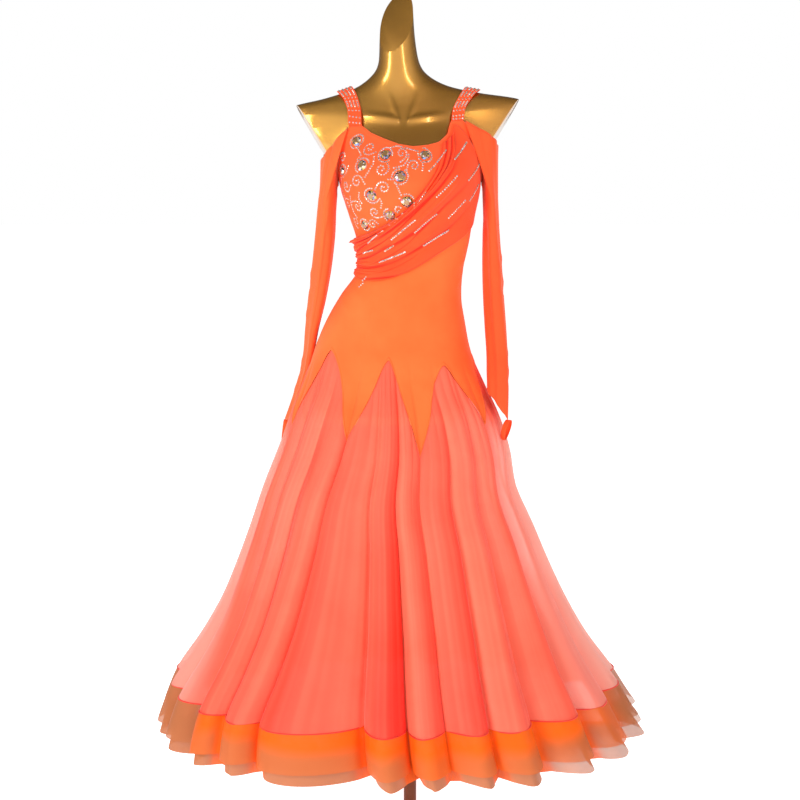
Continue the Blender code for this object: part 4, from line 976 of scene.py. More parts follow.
def collar_relief(points):
    """Height of the moulded collar bones and of the two cords of the neck above them."""
    away, z = np.abs(points[..., 0] - COLLAR.x), points[..., 2]
    line, above = COLLAR.z + COLLAR.slope * away, z - COLLAR.z
    bone = bell(z - line, COLLAR.width) * rising(away, COLLAR.start, COLLAR.rise)
    bone = bone * fading(away, COLLAR.end, COLLAR.fade)
    cord = bell(away - NECK_CORD.away - NECK_CORD.lean * above, NECK_CORD.width)
    cord = cord * rising(above, NECK_CORD.start, NECK_CORD.rise)
    cord = cord * fading(above, NECK_CORD.end, NECK_CORD.fade)
    return COLLAR.height * np.maximum(bone, NECK_CORD.share * cord)


FORM_ROWS, FORM_COLUMNS = 199, 144
INSET_RINGS = 2          # over which the form's inset under the dress fades
FORM_MERGE = 0.0004
FORM_BEVEL = 0.0012
BEVEL_FROM_DEG, SHARP_FROM_DEG = 42, 38


class DRESS_OT_form(Step, bpy.types.Operator):
    """The limbless torso with its slanted neck cut and two short arm stubs"""

    bl_idname = "dress.make_form"
    bl_label = "Form"

    def make(self, sizes, colours):
        degs = np.arange(FORM_COLUMNS) * 360 / FORM_COLUMNS
        deg, ring = np.meshgrid(degs, np.linspace(0, len(BODY) - 1, FORM_ROWS))
        inset = FORM_INSET * ease((SHOULDER_RING - ring) / INSET_RINGS)
        normals = body_normal(deg, ring)
        grid = body_point(deg, ring) - inset[..., None] * normals * (1, 1, 0)
        grid += (collar_relief(grid) * (normals[..., 1] < 0))[..., None] * normals
        form = grid_object("gold_form", grid, closed=True)
        bm = bmesh.new()
        bm.from_mesh(form.data)
        bm.verts.ensure_lookup_table()
        bm.faces.new(bm.verts[:FORM_COLUMNS])
        bm.faces.new(bm.verts[-FORM_COLUMNS:][::-1])
        bmesh.ops.remove_doubles(bm, verts=bm.verts, dist=FORM_MERGE)
        bmesh.ops.recalc_face_normals(bm, faces=bm.faces)
        bm.to_mesh(form.data)
        bm.free()
        for cut in CUTS:
            block = cut_block(cut)
            activate(form)
            trim = form.modifiers.new("Trim", "BOOLEAN")
            trim.operation, trim.object = "DIFFERENCE", block
            bpy.ops.object.modifier_apply(modifier=trim.name)
            bpy.data.objects.remove(block)
        edge = form.modifiers.new("Edge", "BEVEL")
        edge.width, edge.segments = FORM_BEVEL, 2
        edge.limit_method, edge.angle_limit = "ANGLE", math.radians(BEVEL_FROM_DEG)
        bpy.ops.object.modifier_apply(modifier=edge.name)
        form.data.shade_smooth()
        form.data.set_sharp_from_angle(angle=math.radians(SHARP_FROM_DEG))
        dress(form, gold_material("Gold lacquer", colours.gold[:],
                                                  colours.gold_edge[:]), ["dress_form"])


class DRESS_OT_stand(Step, bpy.types.Operator):
    """The pole and the round foot"""

    bl_idname = "dress.make_stand"
    bl_label = "Stand"

    def make(self, sizes, colours):
        metal = metal_material("Bronze tube", colours.bronze[:])
        for node in ("form_pole", "form_base"):
            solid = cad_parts[node]
            for place in solid.material_slots:
                place.link = "OBJECT"
                place.material = metal


# -------- bodice, straps and sleeves

CREASE_ENDS = (0.12, 0.88)  # the part of a half wave that a crease's height follows
PANEL_COLUMNS, PANEL_ROWS = 169, 130
BINDING_SLOPE = 0.0007
PULL_HEIGHT = 0.0004     # soft pulls of the jersey, which fade out upwards
PULLS_Z, PULLS_FADE = 1.2, 0.1


def crease_height(deg, z):
    """Soft ridges and troughs of the bodice's creases."""
    total = np.zeros(np.shape(deg))
    u, v = np.asarray(deg) * CHEST_METRE, np.asarray(z)
    for row in CREASES:
        a = np.array([row.deg * CHEST_METRE, row.z])
        b = np.array([row.end_deg * CHEST_METRE, row.end_z])
        along = ((u - a[0]) * (b - a)[0] + (v - a[1]) * (b - a)[1]) / ((b - a) @ (b - a))
        t = np.clip(along, 0, 1)
        away = np.hypot(u - mix(a[0], b[0], t), v - mix(a[1], b[1], t))
        total += row.height * bell(away, row.width) * np.sin(np.pi * mix(*CREASE_ENDS, t))
    return total


def panel_sheet(name, first, sizes):
    """One bodice panel, its bound edges standing a little proud."""
    lines = np.linspace(first, first + FLUTE_COUNT / 2, PANEL_COLUMNS)
    top, bottom = top_edge(lines)[1] - SEAM, zigzag_z(lines) + SEAM
    top[[0, -1]] = UNDERARM_Z - SEAM
    width = sizes.binding_width
    fine = [0, BINDING_SLOPE, width - BINDING_SLOPE, width]
    heights = [top - d for d in fine]
    heights += [mix(top - width, bottom + width, t)
                for t in np.linspace(0, 1, PANEL_ROWS + 2)[1:-1]]
    heights += [bottom + d for d in fine[::-1]]
    z = np.array(heights)
    line = np.broadcast_to(lines, z.shape)
    rise = np.zeros(z.shape)
    rise[1:3] = rise[-3:-1] = sizes.binding_rise
    deg = (line_deg(line, z) + 180) % 360 - 180
    rise += crease_height(deg, z)
    rise += PULL_HEIGHT * drift(3, deg * 0.11, z * 30) * ease((PULLS_Z - z) / PULLS_FADE)
    grid = dress_point(line, z) + rise[..., None] * outward(dress_point, line, z)
    uvs = np.stack([deg * CHEST_METRE, z], -1)
    made = grid_object(name, grid, uvs=uvs)
    thicken(made, sizes.jersey_thick)
    return made


class DRESS_OT_bodice(Step, bpy.types.Operator):
    """The front and back of the jersey bodice, down to the points between the godets"""

    bl_idname = "dress.make_bodice"
    bl_label = "Bodice"

    def make(self, sizes, colours):
        jersey = knit_material("Jersey", colours.jersey[:], colours.jersey_shade[:], rough=0.72,
                               sheen=0.18, top=colours.jersey_top[:])
        for name, first, node in (("bodice_front", FRONT_LINE, "front_panel"),
                                  ("bodice_back", BACK_LINE, "back_panel")):
            made = panel_sheet(name, first, sizes)
            dress(made, jersey, [node])


STRAP_ROWS, STRAP_COLUMNS = 49, 9
STRAP_LIFT = 0.0006
SHOULDER_RINGS = (12.0, 18.5)  # the straps cross the shoulder between these
STRAP_WIDTH, STRAP_LENGTH = 0.03, 0.17
STRAP_MIDDLE = (0, 0, 1.40)  # the straps face away from here


def shoulder_point(deg, x):
    """Points off the shoulder, at angles and x's."""
    low, high = (np.full(np.shape(deg), ring) for ring in SHOULDER_RINGS)
    ring = closed_in(low, high, lambda r: np.abs(body_point(deg, r)[..., 0]) > np.abs(x), 30)[0]
    return body_point(deg, ring) + (OFF_FORM + CHEST_EASE) * body_normal(deg, ring)


def strap_grid(strap):
    """Points of a strap from the front's top edge over the shoulder to the back's."""
    edges = []
    t = np.linspace(0, 1, STRAP_ROWS)
    in_front, share = t <= 0.5, 1 - np.abs(2 * t - 1)
    for front, back, ridge_x in zip(strap.front_columns, strap.back_columns,
                                    (strap.outer_x, strap.inner_x)):
        first = next(r for r in FRONT_TOP if r.column == front)
        last = next(r for r in BACK_TOP if r.column == back)
        start = dress_point(FRONT_LINE + 0.5 * front, first.z)
        end = dress_point(BACK_LINE + 0.5 * back, last.z)
        end_deg = last.deg - (360 if strap.side < 0 else 0)
        deg = mix(np.where(in_front, first.deg, end_deg), 90 * strap.side, share)
        x = mix(np.where(in_front, start[0], end[0]), ridge_x, ease(share))
        points = shoulder_point(deg, x) + (0, 0, STRAP_LIFT)
        points[0], points[-1] = start, end
        edges.append(points)
    u = np.linspace(0, 1, STRAP_COLUMNS)[None, :, None]
    return mix(edges[0][:, None], edges[1][:, None], u)


def grid_normals(grid, away_from):
    """Normals of a grid of points, pointing away from a place."""
    n = unit(np.cross(np.gradient(grid, axis=1), np.gradient(grid, axis=0)))
    return n * np.sign((n * (grid - away_from)).sum())


def face_out(obj, middle):
    """Turns a sheet's faces to point away from its middle."""
    total = sum((face.center - Vector(middle)).dot(face.normal) * face.area
                for face in obj.data.polygons)
    if total < 0:
        obj.data.flip_normals()


class DRESS_OT_straps(Step, bpy.types.Operator):
    """The two stoned shoulder straps"""

    bl_idname = "dress.make_straps"
    bl_label = "Straps"

    def make(self, sizes, colours):
        jersey = knit_material("Strap jersey", colours.jersey_top[:], colours.chiffon_shade[:],
                               rough=0.70, sheen=0.15)
        for strap in STRAPS:
            grid = strap_grid(strap)
            normals = grid_normals(grid, STRAP_MIDDLE)
            rise = np.zeros(STRAP_COLUMNS)
            rise[[1, -2]] = 0.5 * sizes.binding_rise
            grid = grid + normals * rise[None, :, None]
            uvs = np.stack(np.meshgrid(np.linspace(0, STRAP_WIDTH, STRAP_COLUMNS),
                                       np.linspace(0, STRAP_LENGTH, STRAP_ROWS)), -1)
            made = grid_object(f"shoulder_{strap.name}", grid, uvs=uvs)
            face_along(made, normals[0, 0])
            thicken(made, sizes.jersey_thick)
            dress(made, jersey, [strap.name])


def arm_edge(rows, side):
    """(angle, height) of an armhole's half, from the strap to just before the underarm."""
    turned = [(r.deg - 360 if r.deg > 180 and side < 0 else r.deg, r.z) for r in rows]
    near = [(deg, z) for deg, z in turned if ARM_FROM_DEG <= deg * side <= ARM_TO_DEG]
    return sorted((r for r in near if r[0] != 90 * side), key=lambda r: -abs(r[0] - 90 * side))


def push_out(points, off):
    """Moves points level and outwards until they are that far off the form's skin."""
    deg, x, y, z = np.zeros(len(points)), *points.T
    for _ in range(4):
        centre = BODY_PROFILE(ring_at(deg, z))[..., BODY_CENTRE]
        deg = np.degrees(np.arctan2(x - centre, -y))
    skin = body_point(deg, ring_at(deg, z))
    away = np.stack([x - centre, y], -1)
    short = np.hypot(skin[:, 0] - centre, skin[:, 1]) + off - np.linalg.norm(away, axis=1)
    moved = points.copy()
    moved[:, :2] += unit(away) * np.maximum(short, 0)[:, None]
    return moved


def sleeve_rim(side):
    """Angles round a sleeve and the points of its upper rim: loose outside, sewn at the armhole."""
    lap = OFF_FORM + CHEST_EASE + SLEEVE_LAP

    def seam(rows):
        corner, *others = arm_edge(rows, side)
        return [on_body(*corner, lap + 2 * WALL), *(on_body(deg, z, lap) for deg, z in others)]

    front, back = seam(FRONT_TOP), seam(BACK_TOP)
    under = on_body(90 * side, UNDERARM_Z, lap)
    loose = [front[0], *LOOSE_EDGE[side], back[0]]
    sewn = [back[0], *back[1:], under, *front[:0:-1], front[0]]
    turn = np.linspace(0, 2 * np.pi, SLEEVE_COLUMNS, endpoint=False)
    hangs = turn < np.pi
    curve = Profile([(np.pi * i / (len(loose) - 1), *p) for i, p in enumerate(loose)])
    at = np.pi * np.concatenate([np.linspace(1, 1.5, len(back) + 1),
                                 np.linspace(1.5, 2, len(front) + 1)[1:]])
    inner = np.stack([np.interp(turn, at, [p[k] for p in sewn]) for k in range(3)], -1)
    return turn, hangs, np.where(hangs[:, None], curve(turn), inner)


def sleeve_grid(side, rows):
    """Points of a sleeve's outer face, from the rim to the pointed cuff."""
    turn, hangs, rim = sleeve_rim(side)
    section = Profile([tuple(r) for r in rows])

    def level_ring(z):
        inner, outer, y, half_y = section(z)
        half = abs(outer - inner) / 2
        return np.column_stack([(inner + outer) / 2 + side * half * np.sin(turn),
                                y - half_y * np.cos(turn), np.full(len(turn), z)])

    first = level_ring(rows[0].z)
    grid = [rim]
    for share in np.linspace(0, 1, HEAD_ROWS + 2)[1:-1]:
        between = mix(rim, first, share)
        between[hangs, 1] -= SLEEVE_BULGE * math.sin(math.pi * share) * np.cos(turn[hangs])
        pushed = push_out(between, through(SLEEVE_HEAD, share))
        grid.append(np.where(hangs[:, None], between, pushed))
    for share in np.linspace(0, 1, SLEEVE_ROWS):
        ring = level_ring(mix(rows[0].z, rows[-1].z, share))
        ring[:, 2] -= CUFF_SLANT[side] * np.sin(turn) * rising(share, CUFF_FROM, CUFF_REACH)
        grid.append(ring)
    return turn, np.array(grid)


def sleeve_folds(side, turn, grid):
    """Heights of a sleeve's folds: gathers at the head, long soft folds and a few cross creases."""
    z = grid[..., 2]
    round_arm = np.sin(turn)[None, :]
    rows_share = np.linspace(0, 1, len(grid))[:, None]
    long = SLEEVE_FOLD * np.sin(3 * turn + 1.6 * np.sin(5 * z) + 1.3 * side)
    long = long + SLEEVE_FINE * np.sin(7 * turn + 7 * z + 2 * side)
    height = long * ease(rows_share / LONG_GROWN)
    for at, width, tilt, size in SLEEVE_CREASES[side]:
        level = z - at - tilt * np.cos(turn)
        height = height + size * bell(level, width) * (0.5 + 0.5 * round_arm)
    gather = np.abs(np.sin(6.5 * turn + 0.7 * side)) ** PLEAT_FULL - PLEAT_MEAN
    gather = gather * np.exp(-rows_share / GATHER_END) * (np.sin(turn) > 0)
    height = height + SLEEVE_GATHER * gather
    held = ease(-round_arm / SEWN_SIDE) * fading(rows_share, SEWN_END, SEWN_FADE)
    return height * (1 - held)


def loop_grid(side, rows):
    """Points of the finger loop under the cuff's point."""
    cuff, place = rows[-1], LOOP_PLACE[side]
    at, turn = math.radians(place.rim_deg), math.radians(place.turn_deg)
    middle, half = (cuff.inner + cuff.outer) / 2, abs(cuff.outer - cuff.inner) / 2
    top = np.array([middle + side * half * math.sin(at), cuff.y - cuff.half_y * math.cos(at),
                    cuff.z - CUFF_SLANT[side] * math.sin(at) - place.below])
    across = np.array([math.sin(turn), math.cos(turn), 0])
    facing = np.array([math.cos(turn), -math.sin(turn), 0])
    angle = np.linspace(0, 2 * np.pi, LOOP_POINTS, endpoint=False)
    wide = LOOP_HALF * np.sin(angle) * (1 + LOOP_TAPER * np.cos(angle))
    drop = LOOP_HEIGHT * (1 - np.cos(angle)) / 2
    lean = np.array([side * place.lean, 0, -1])
    ring = top + wide[:, None] * across + drop[:, None] * lean
    return np.array([ring + facing * LOOP_WIDTH * s for s in LOOP_ACROSS])


class DRESS_OT_sleeves(Step, bpy.types.Operator):
    """The two hanging sleeves and the finger loops on their cuffs"""

    bl_idname = "dress.make_sleeves"
    bl_label = "Sleeves"

    def make(self, sizes, colours):
        for side, name, rows, tone in ((-1, "left", LEFT_SLEEVE, colours.sleeve_left),
                                       (1, "right", RIGHT_SLEEVE, colours.sleeve_right)):
            # The sleeve's colour is the jersey with painted shade
            jersey = knit_material(f"Sleeve jersey {name}", tone[:], darker(tone, 0.86),
                                   rough=0.72, sheen=0.20)
            turn, grid = sleeve_grid(side, rows)
            normals = grid_normals(grid, grid.mean(axis=1, keepdims=True))
            grid = grid + sleeve_folds(side, turn, grid)[..., None] * normals
            round_uv = np.broadcast_to(turn * SLEEVE_RADIUS, grid.shape[:2])
            uvs = np.stack([round_uv, grid[..., 2]], -1)
            made = grid_object(f"loose_sleeve_{name}", grid, closed=True, uvs=uvs)
            face_out(made, grid.mean(axis=(0, 1)))
            thicken(made, sizes.jersey_thick)
            dress(made, jersey, [f"sleeve_{name}"])
            grid = loop_grid(side, rows)
            made = grid_object(f"cuff_loop_{name}", grid, closed=True)
            face_out(made, grid.mean(axis=(0, 1)))
            thicken(made, sizes.jersey_thick)
            dress(made, jersey, [f"finger_loop_{name}"])


# -------- the sash

def sash_place(q, s):
    """(angle, height) of a place on the sash: q up from its lower edge, s from its left."""
    edges = []
    for rows in (SASH_LOWER, SASH_UPPER, SASH_RIGHT):
        profile = Profile([(t, r.deg, r.z) for t, r in zip(np.linspace(0, 1, len(rows)), rows)])
        edges.append(profile(q if rows is SASH_RIGHT else s))
    low, high, right = edges
    q, s = q[..., None], s[..., None]
    a, b = np.array(SASH_LOWER[0]), np.array(SASH_UPPER[0])
    c, d = np.array(SASH_LOWER[-1]), np.array(SASH_UPPER[-1])
    corners = mix(mix(a, c, s), mix(b, d, s), q)
    place = mix(low, high, q) + mix(mix(a, b, q), right, s) - corners
    return place[..., 0], place[..., 1]


# Shares of the sash's length over which its folds rise at the waist, and where and over how much
# they fade; then the same for its fine pleats
FOLD_RISE, FOLD_END, FOLD_FADE = 0.08, 0.50, 0.48
PLEAT_RISE, PLEAT_END, PLEAT_FADE = 0.04, 0.04, 0.42
# The fine pleats: how many, their slant and height
SASH_PLEATS = [(11.3, 1.6, 0.0022), (19, 2.4, 0.0013), (31, 3.1, 0.0006)]
FOLD_WANDER, FOLD_WANDER_FINE = 0.018, 0.012
CREASE_FROM, CREASE_RISE, CREASE_FADE = 0.9, 0.15, 0.12
ROLL_FROM, ROLL_RISE, ROLL_RIM = 0.84, 0.07, 0.035
SASH_LIFT = 0.0008       # of its upper half over its lower
SASH_ROWS, SASH_COLUMNS = 151, 111
SASH_THICK = 0.0009
SASH_MIDDLE = (0, 0, 1.30)  # the sash faces away from here
FOLD_REACH = 7           # rows each way that a fold is compared with
FOLD_SHADE_DEPTH = 0.0012      # below them, at which it has its deepest painted shade


def sash_fold(q, s):
    """The sash's folds: deep at the waist, fanning and fading to the right chest."""
    fade = ease(s / FOLD_RISE) * fading(s, FOLD_END, FOLD_FADE)
    bent = q + FOLD_WANDER * np.sin(9 * s + 2) + FOLD_WANDER_FINE * np.sin(17 * s + 11 * q)
    wave = np.abs(np.sin(np.pi * SASH_FOLDS * bent)) ** FOLD_FULL
    total = FOLD_HEIGHT * wave * fade * mix(0.7, 1.0, q)
    tight = fading(s, PLEAT_END, PLEAT_FADE)
    for count, slant, height in SASH_PLEATS:
        pleat = np.abs(np.sin(np.pi * (count * bent + slant * s))) ** PLEAT_FULL - PLEAT_MEAN
        total = total + height * pleat * tight * ease(s / PLEAT_RISE)
    roll = rising(q, ROLL_FROM, ROLL_RISE) * ease((1.0 - q) / ROLL_RIM)
    total = total + ROLL_HEIGHT * roll * fade
    for row in SASH_CREASES:
        line = row.at + row.fan * (s - CREASE_FROM)
        along = rising(s, row.start, CREASE_RISE) * fading(s, row.end, CREASE_FADE)
        total = total + row.height * bell(q - line, row.width) * along
    return np.maximum(total + SASH_LIFT * rising(q, 0.5, 0.2) * fade, 0.0)


def sash_painted_shade():
    """Painted shade of the sash, from 0 to 1 by how deep each place lies between its folds."""
    height = sash_fold(*sash_mesh())
    padded = np.pad(height, ((FOLD_REACH, FOLD_REACH), (0, 0)), mode="edge")
    steps = range(-FOLD_REACH, FOLD_REACH + 1)
    around = sum(np.roll(padded, k, 0) for k in steps)[FOLD_REACH:-FOLD_REACH]
    return np.clip((around / len(steps) - height) / FOLD_SHADE_DEPTH, 0, 1)


def sash_mesh():
    """Places across the sash and along it."""
    return np.meshgrid(np.linspace(0, 1, SASH_ROWS), np.linspace(0, 1, SASH_COLUMNS),
                       indexing="ij")


def sash_surface():
    """(points, normals, angles, heights) of the sash's outer face."""
    q, s = sash_mesh()
    deg, z = sash_place(q, s)
    lap = cloth_off(z) + SASH_LAP + SASH_WAIST_LAP * (1 - s) + WALL
    grid = on_body(deg, z, lap + sash_fold(q, s))
    return grid, grid_normals(grid, SASH_MIDDLE), deg, z


class DRESS_OT_sash(Step, bpy.types.Operator):
    """The chiffon sash, gathered at the left waist and spread over the right chest"""

    bl_idname = "dress.make_sash"
    bl_label = "Sash"

    def make(self, sizes, colours):
        chiffon = knit_material("Chiffon", colours.chiffon[:], colours.chiffon_shade[:],
                                rough=0.66, sheen=0.25, fold=colours.chiffon_fold_shade[:])
        grid, normals, deg, z = sash_surface()
        uvs = np.stack([deg * CHEST_METRE, z], -1)
        made = grid_object("draped_sash", grid, uvs=uvs)
        # Painted shade between the sash's folds
        attribute(made, "fold", sash_painted_shade())
        face_along(made, normals[0, 0])
        thicken(made, SASH_THICK)
        dress(made, chiffon, ["sash"])


# -------- the skirt

# Round the right side the skirt thins to one ply: line, share of the full cloth
THIN_SIDE = [(10.7, 1.0), (11.2, 0.62), (11.9, 0.45), (12.3, 0.0), (15.0, 0.0), (16.6, 1.0)]
# The left side keeps only this share, from a line at the back to one at the front, given at two
# heights; both ends blend over a part of a line
LEFT_PLY = 0.14
LEFT_BACK, LEFT_FRONT = 21.7, [(0.40, 2.7), (0.90, 1.8)]
BACK_BLEND, FRONT_BLEND = 0.9, 0.6
PLY_POWER = 1.5          # above 1 half lined cloth is nearer to one ply
LINED_Z, LINED_FADE = 0.84, 0.10  # above this all of it is lined
GODET_COVER, UNDER_COVER = 0.96, 0.90
# The under layer behind one ply: its top, the depth over which it thickens and its share of cover
BACKED_Z, BACKED_FADE, BACKED = 0.56, 0.16, 0.45
# The skirt's small ripples and gathers: where they start and how far down they grow or die away
RIPPLE_Z, RIPPLE_GROW = 0.95, 0.5
FLUTE_RIPPLE, FREE_RIPPLE = 0.6, 0.4  # shares of those that follow the flutes and of the others
GATHER_GROW, GATHER_FADE = 0.03, 0.13
GATHER_FULL, GATHER_MEAN = 0.7, 0.6
CLOTH_LINE = 0.13        # metres of organza in a line
SKIRT_ONLY_Z = 0.9       # a sheet below this has no part of the bodice's shape
# The organza's colour from its lit crest to its painted shade runs from 0 to 1. Where two values
# stand together, the first holds at the hip and the second is what the hem adds.
FLUTE_TONE = (0.38, 0.13)
OWN_TONE, MEAN_TONE = (0.3, 0.7), 0.33  # how much of its own tone a flute shows, over their mean
FAR_SHADE, FAR_WIDTH, FAR_POWER = (0.72, 0.28), 0.13, 1.5  # a flute's far edge, in painted shade
NEAR_LIGHT, NEAR_WIDTH = (0.25, 0.25), 0.07  # and its near edge, with a painted highlight
SIDE_SHADE, SIDE_MIDDLE = 0.66, 0.56  # painted shade from edge to edge, and where that adds nothing
FLUTE_STREAKS = [(0.11, 13, 67), (0.07, 17, 151)]  # strength, seed, waves in a turn
# Painted shade between gathers: how deep, the height under which it deepens, how far down it shows
GATHER_DEPTH, GATHER_LEVEL, GATHER_SHADE = 0.14, 0.25, 0.10
LOW_REACH = 0.42         # from LINED_Z down to where the hem's values hold
FLUTE_BLEND = 0.07       # of a flute, in which its own tone runs into the next one's
FLUTE_GROW = 0.16        # below the zigzag seam, at which the flutes have their contrast


def flute_value(line, values):
    """A value for each flute, blended over a narrow band at the valleys."""
    number = np.floor(line).astype(int)
    u = line - number
    before, here, after = (np.array(values)[(number + k) % FLUTE_COUNT] for k in (-1, 0, 1))
    left = mix(mix(before, here, 0.5), here, u / FLUTE_BLEND)
    right = mix(mix(after, here, 0.5), here, (1 - u) / FLUTE_BLEND)
    return np.where(u > 1 - FLUTE_BLEND, right, np.where(u < FLUTE_BLEND, left, here))


def plies(line, z):
    """1 where the skirt is lined and gathered, down to 0 where its sides are one ply."""
    at = line % FLUTE_COUNT
    front = ease((at - through(LEFT_FRONT, z) + FRONT_BLEND / 2) / FRONT_BLEND)
    share = np.minimum(through(THIN_SIDE, at), mix(LEFT_PLY, 1.0, front))
    share = np.minimum(share, mix(1.0, LEFT_PLY, rising(at, LEFT_BACK, BACK_BLEND)))
    return mix(share, 1.0, rising(z, LINED_Z, LINED_FADE))


def gathers(line):
    """The small gathers under the zigzag seam, about as far below 0 as above it."""
    wave = np.sin(np.pi * (line * 3 + 0.3 * ring_drift(2, line, 5)))
    return np.abs(wave) ** GATHER_FULL - GATHER_MEAN


def flute_shade_and_streaks(line, z, below):
    """Painted shade of the organza, with streaks: 0 on a bright fold, 1 at a flute's far edge."""
    low = np.clip((LINED_Z - z) / LOW_REACH, 0, 1)
    grown = np.clip(below / FLUTE_GROW, 0, 1)

    def at_height(values):
        return values[0] + values[1] * low

    u = line % 1
    side = np.where(FLUTE_SIDE[np.floor(line).astype(int) % FLUTE_COUNT] > 0, u, 1 - u)
    # Painted shade at a flute's far edge and between the gathers
    deep = bell(1 - side, FAR_WIDTH, FAR_POWER) * grown * at_height(FAR_SHADE)
    gathered = (GATHER_LEVEL - gathers(line)) * GATHER_DEPTH * np.exp(-below / GATHER_SHADE)
    own = (flute_value(line, FLUTE_SHADES) - MEAN_TONE) * at_height(OWN_TONE)
    streaks = sum(size * ring_drift(seed, line, waves) for size, seed, waves in FLUTE_STREAKS)
    tone = at_height(FLUTE_TONE) + own + (SIDE_SHADE * (side - SIDE_MIDDLE) + streaks) * grown
    # Painted highlight along a flute's near edge
    pale = bell(side, NEAR_WIDTH) * grown * at_height(NEAR_LIGHT)
    return np.clip(np.maximum(np.maximum(deep, gathered), tone) - pale, 0, 1)


def skirt_sheet(name, line, z, inside, closed, sizes, cover):
    """A fluted sheet with its small ripples and the numbers its material reads."""
    below = np.clip(zigzag_z(line) - z, 0, 1)
    along_flutes = np.sin(2 * np.pi * (line * 2 + 0.2)) * ring_drift(1, line, 3)
    ripple = FLUTE_RIPPLE * along_flutes + FREE_RIPPLE * ring_drift(5, line, 7, z * 3)
    ripple = sizes.ripple * np.clip((RIPPLE_Z - z) / RIPPLE_GROW, 0, 1) * ripple
    gather = gathers(line) * ease(below / GATHER_GROW) * np.exp(-below / GATHER_FADE)
    lift = ripple + sizes.gather * gather - inside
    base = skirt_point if z.max() < SKIRT_ONLY_Z else dress_point
    grid = base(line, z) + lift[..., None] * outward(base, line, z)
    uvs = np.stack([line * CLOTH_LINE, z], -1)
    made = grid_object(name, grid, closed=closed, uvs=uvs)
    ply = plies(line, z)
    dense = np.maximum(ply ** PLY_POWER, BACKED * np.clip((BACKED_Z - z) / BACKED_FADE, 0, 1))
    # The organza's painted shade, for its material
    attribute(made, "valley", flute_shade_and_streaks(line, z, below))
    attribute(made, "ply", ply)
    attribute(made, "cover", mix(SHEER_COVER, cover, dense))
    return made


GODET_COLUMNS, GODET_ROWS = 100, 56
ROW_POWER = 0.9          # below 1 the rows lie wider apart at the top
SEAM_TUCK, TUCK_SHARE = 0.0012, 0.03
UNDER_STEPS, UNDER_ROWS = 18, 22
UNDER_GAP = 0.002        # that the under layer keeps from its solid's outer face
UNDER_FADE = 0.10


class DRESS_OT_skirt(Step, bpy.types.Operator):
    """The eight fluted organza godets and the under layer"""

    bl_idname = "dress.make_skirt"
    bl_label = "Skirt"

    def make(self, sizes, colours):
        organza = sheer_material("Organza", colours.organza[:], colours.organza_shade_and_roll[:],
                                 colours.organza_pale[:])
        for number in range(GODET_COUNT):
            first = FLUTES_PER_GODET * number - 1
            lines = np.linspace(first, first + FLUTES_PER_GODET, GODET_COLUMNS)
            line, t = np.meshgrid(lines, np.linspace(0, 1, GODET_ROWS) ** ROW_POWER)
            z = mix(zigzag_z(line) - SEAM, HEM_SEAM_Z + SEAM, t)
            tuck = SEAM_TUCK * (1 - ease(t / TUCK_SHARE))
            made = skirt_sheet(f"organza_godet_{number + 1}", line, z, tuck, False, sizes,
                               GODET_COVER)
            dress(made, organza, [f"godet_{number + 1}"])
        lines = np.arange(FLUTE_COUNT * UNDER_STEPS) / UNDER_STEPS
        line, z = np.meshgrid(lines, np.linspace(UNDER_SKIRT[0].z, UNDER_SEAM_Z, UNDER_ROWS))
        inside = through(sorted(UNDER_SKIRT), z) + UNDER_GAP
        made = skirt_sheet("under_layer", line, z, inside, True, sizes, UNDER_COVER)
        cover = mix(SHEER_COVER, UNDER_COVER, plies(line, z) ** PLY_POWER)
        attribute(made, "cover", cover * ease((UNDER_SKIRT[0].z - z) / UNDER_FADE))
        dress(made, organza, ["under_skirt"])


HEM_STEPS, HEM_ROWS = 20, 13
HEM_WANDER = 0.003       # of the hem's lower edge, up and down
BRAID_COVER = 0.97
# How far the braid is worn to one layer, how far down that starts and over how much it grows
WORN, WORN_UNEVEN = 0.62, 0.3
WORN_TOP, WORN_WANDER, WORN_GROW = 0.22, 0.12, 0.45
VALLEY_HELD = 0.075      # of a line, each side of a valley: there the braid stays whole
# Past these lines, round the left side, the braid is one layer; and the lines of the right side,
# where its worn parts are thinner
FOLDED_BRAID, FOLDED_BLEND = (3.1, 22.6), 0.6
OPEN_SIDE = (9.5, 16)
# The share of its cover that worn braid keeps, the same on the open side, and what the under
# skirt's braid keeps over that
THIN_COVER, OPEN_COVER, UNDER_MORE = 0.90, 0.72, 0.09
ROLL_RADIUS, ROLL_PROUD = 0.0013, 0.4
ROLL_STEPS, ROLL_SIDES = 16, 6
ROLL_WANDER = 0.0015
ROLL_MERGE = 0.00001


def inside_of(at, lines, fade=1.0):
    """1 well between two lines, 0 outside them."""
    return ease(np.minimum(at - lines[0], lines[1] - at) / fade)


def braid_wear(line, z, t, under):
    """(share that is one layer, its share of cover) of a braid, t running from its seam down."""
    worn = 1.0 if under else WORN + WORN_UNEVEN * ring_drift(19, line, 5)
    frayed = ease((t - WORN_TOP - WORN_WANDER * ring_drift(23, line, 3)) / WORN_GROW)
    single = np.maximum(1 - plies(line, z), frayed * worn)
    from_valley = np.abs((line + 0.5) % 1 - 0.5)
    single = single * (1 - bell(from_valley, VALLEY_HELD))
    at = line % FLUTE_COUNT
    single = np.maximum(single, 1 - inside_of(at, FOLDED_BRAID, FOLDED_BLEND))
    thin = mix(THIN_COVER, OPEN_COVER, inside_of(at, OPEN_SIDE)) + (UNDER_MORE if under else 0)
    return single, thin


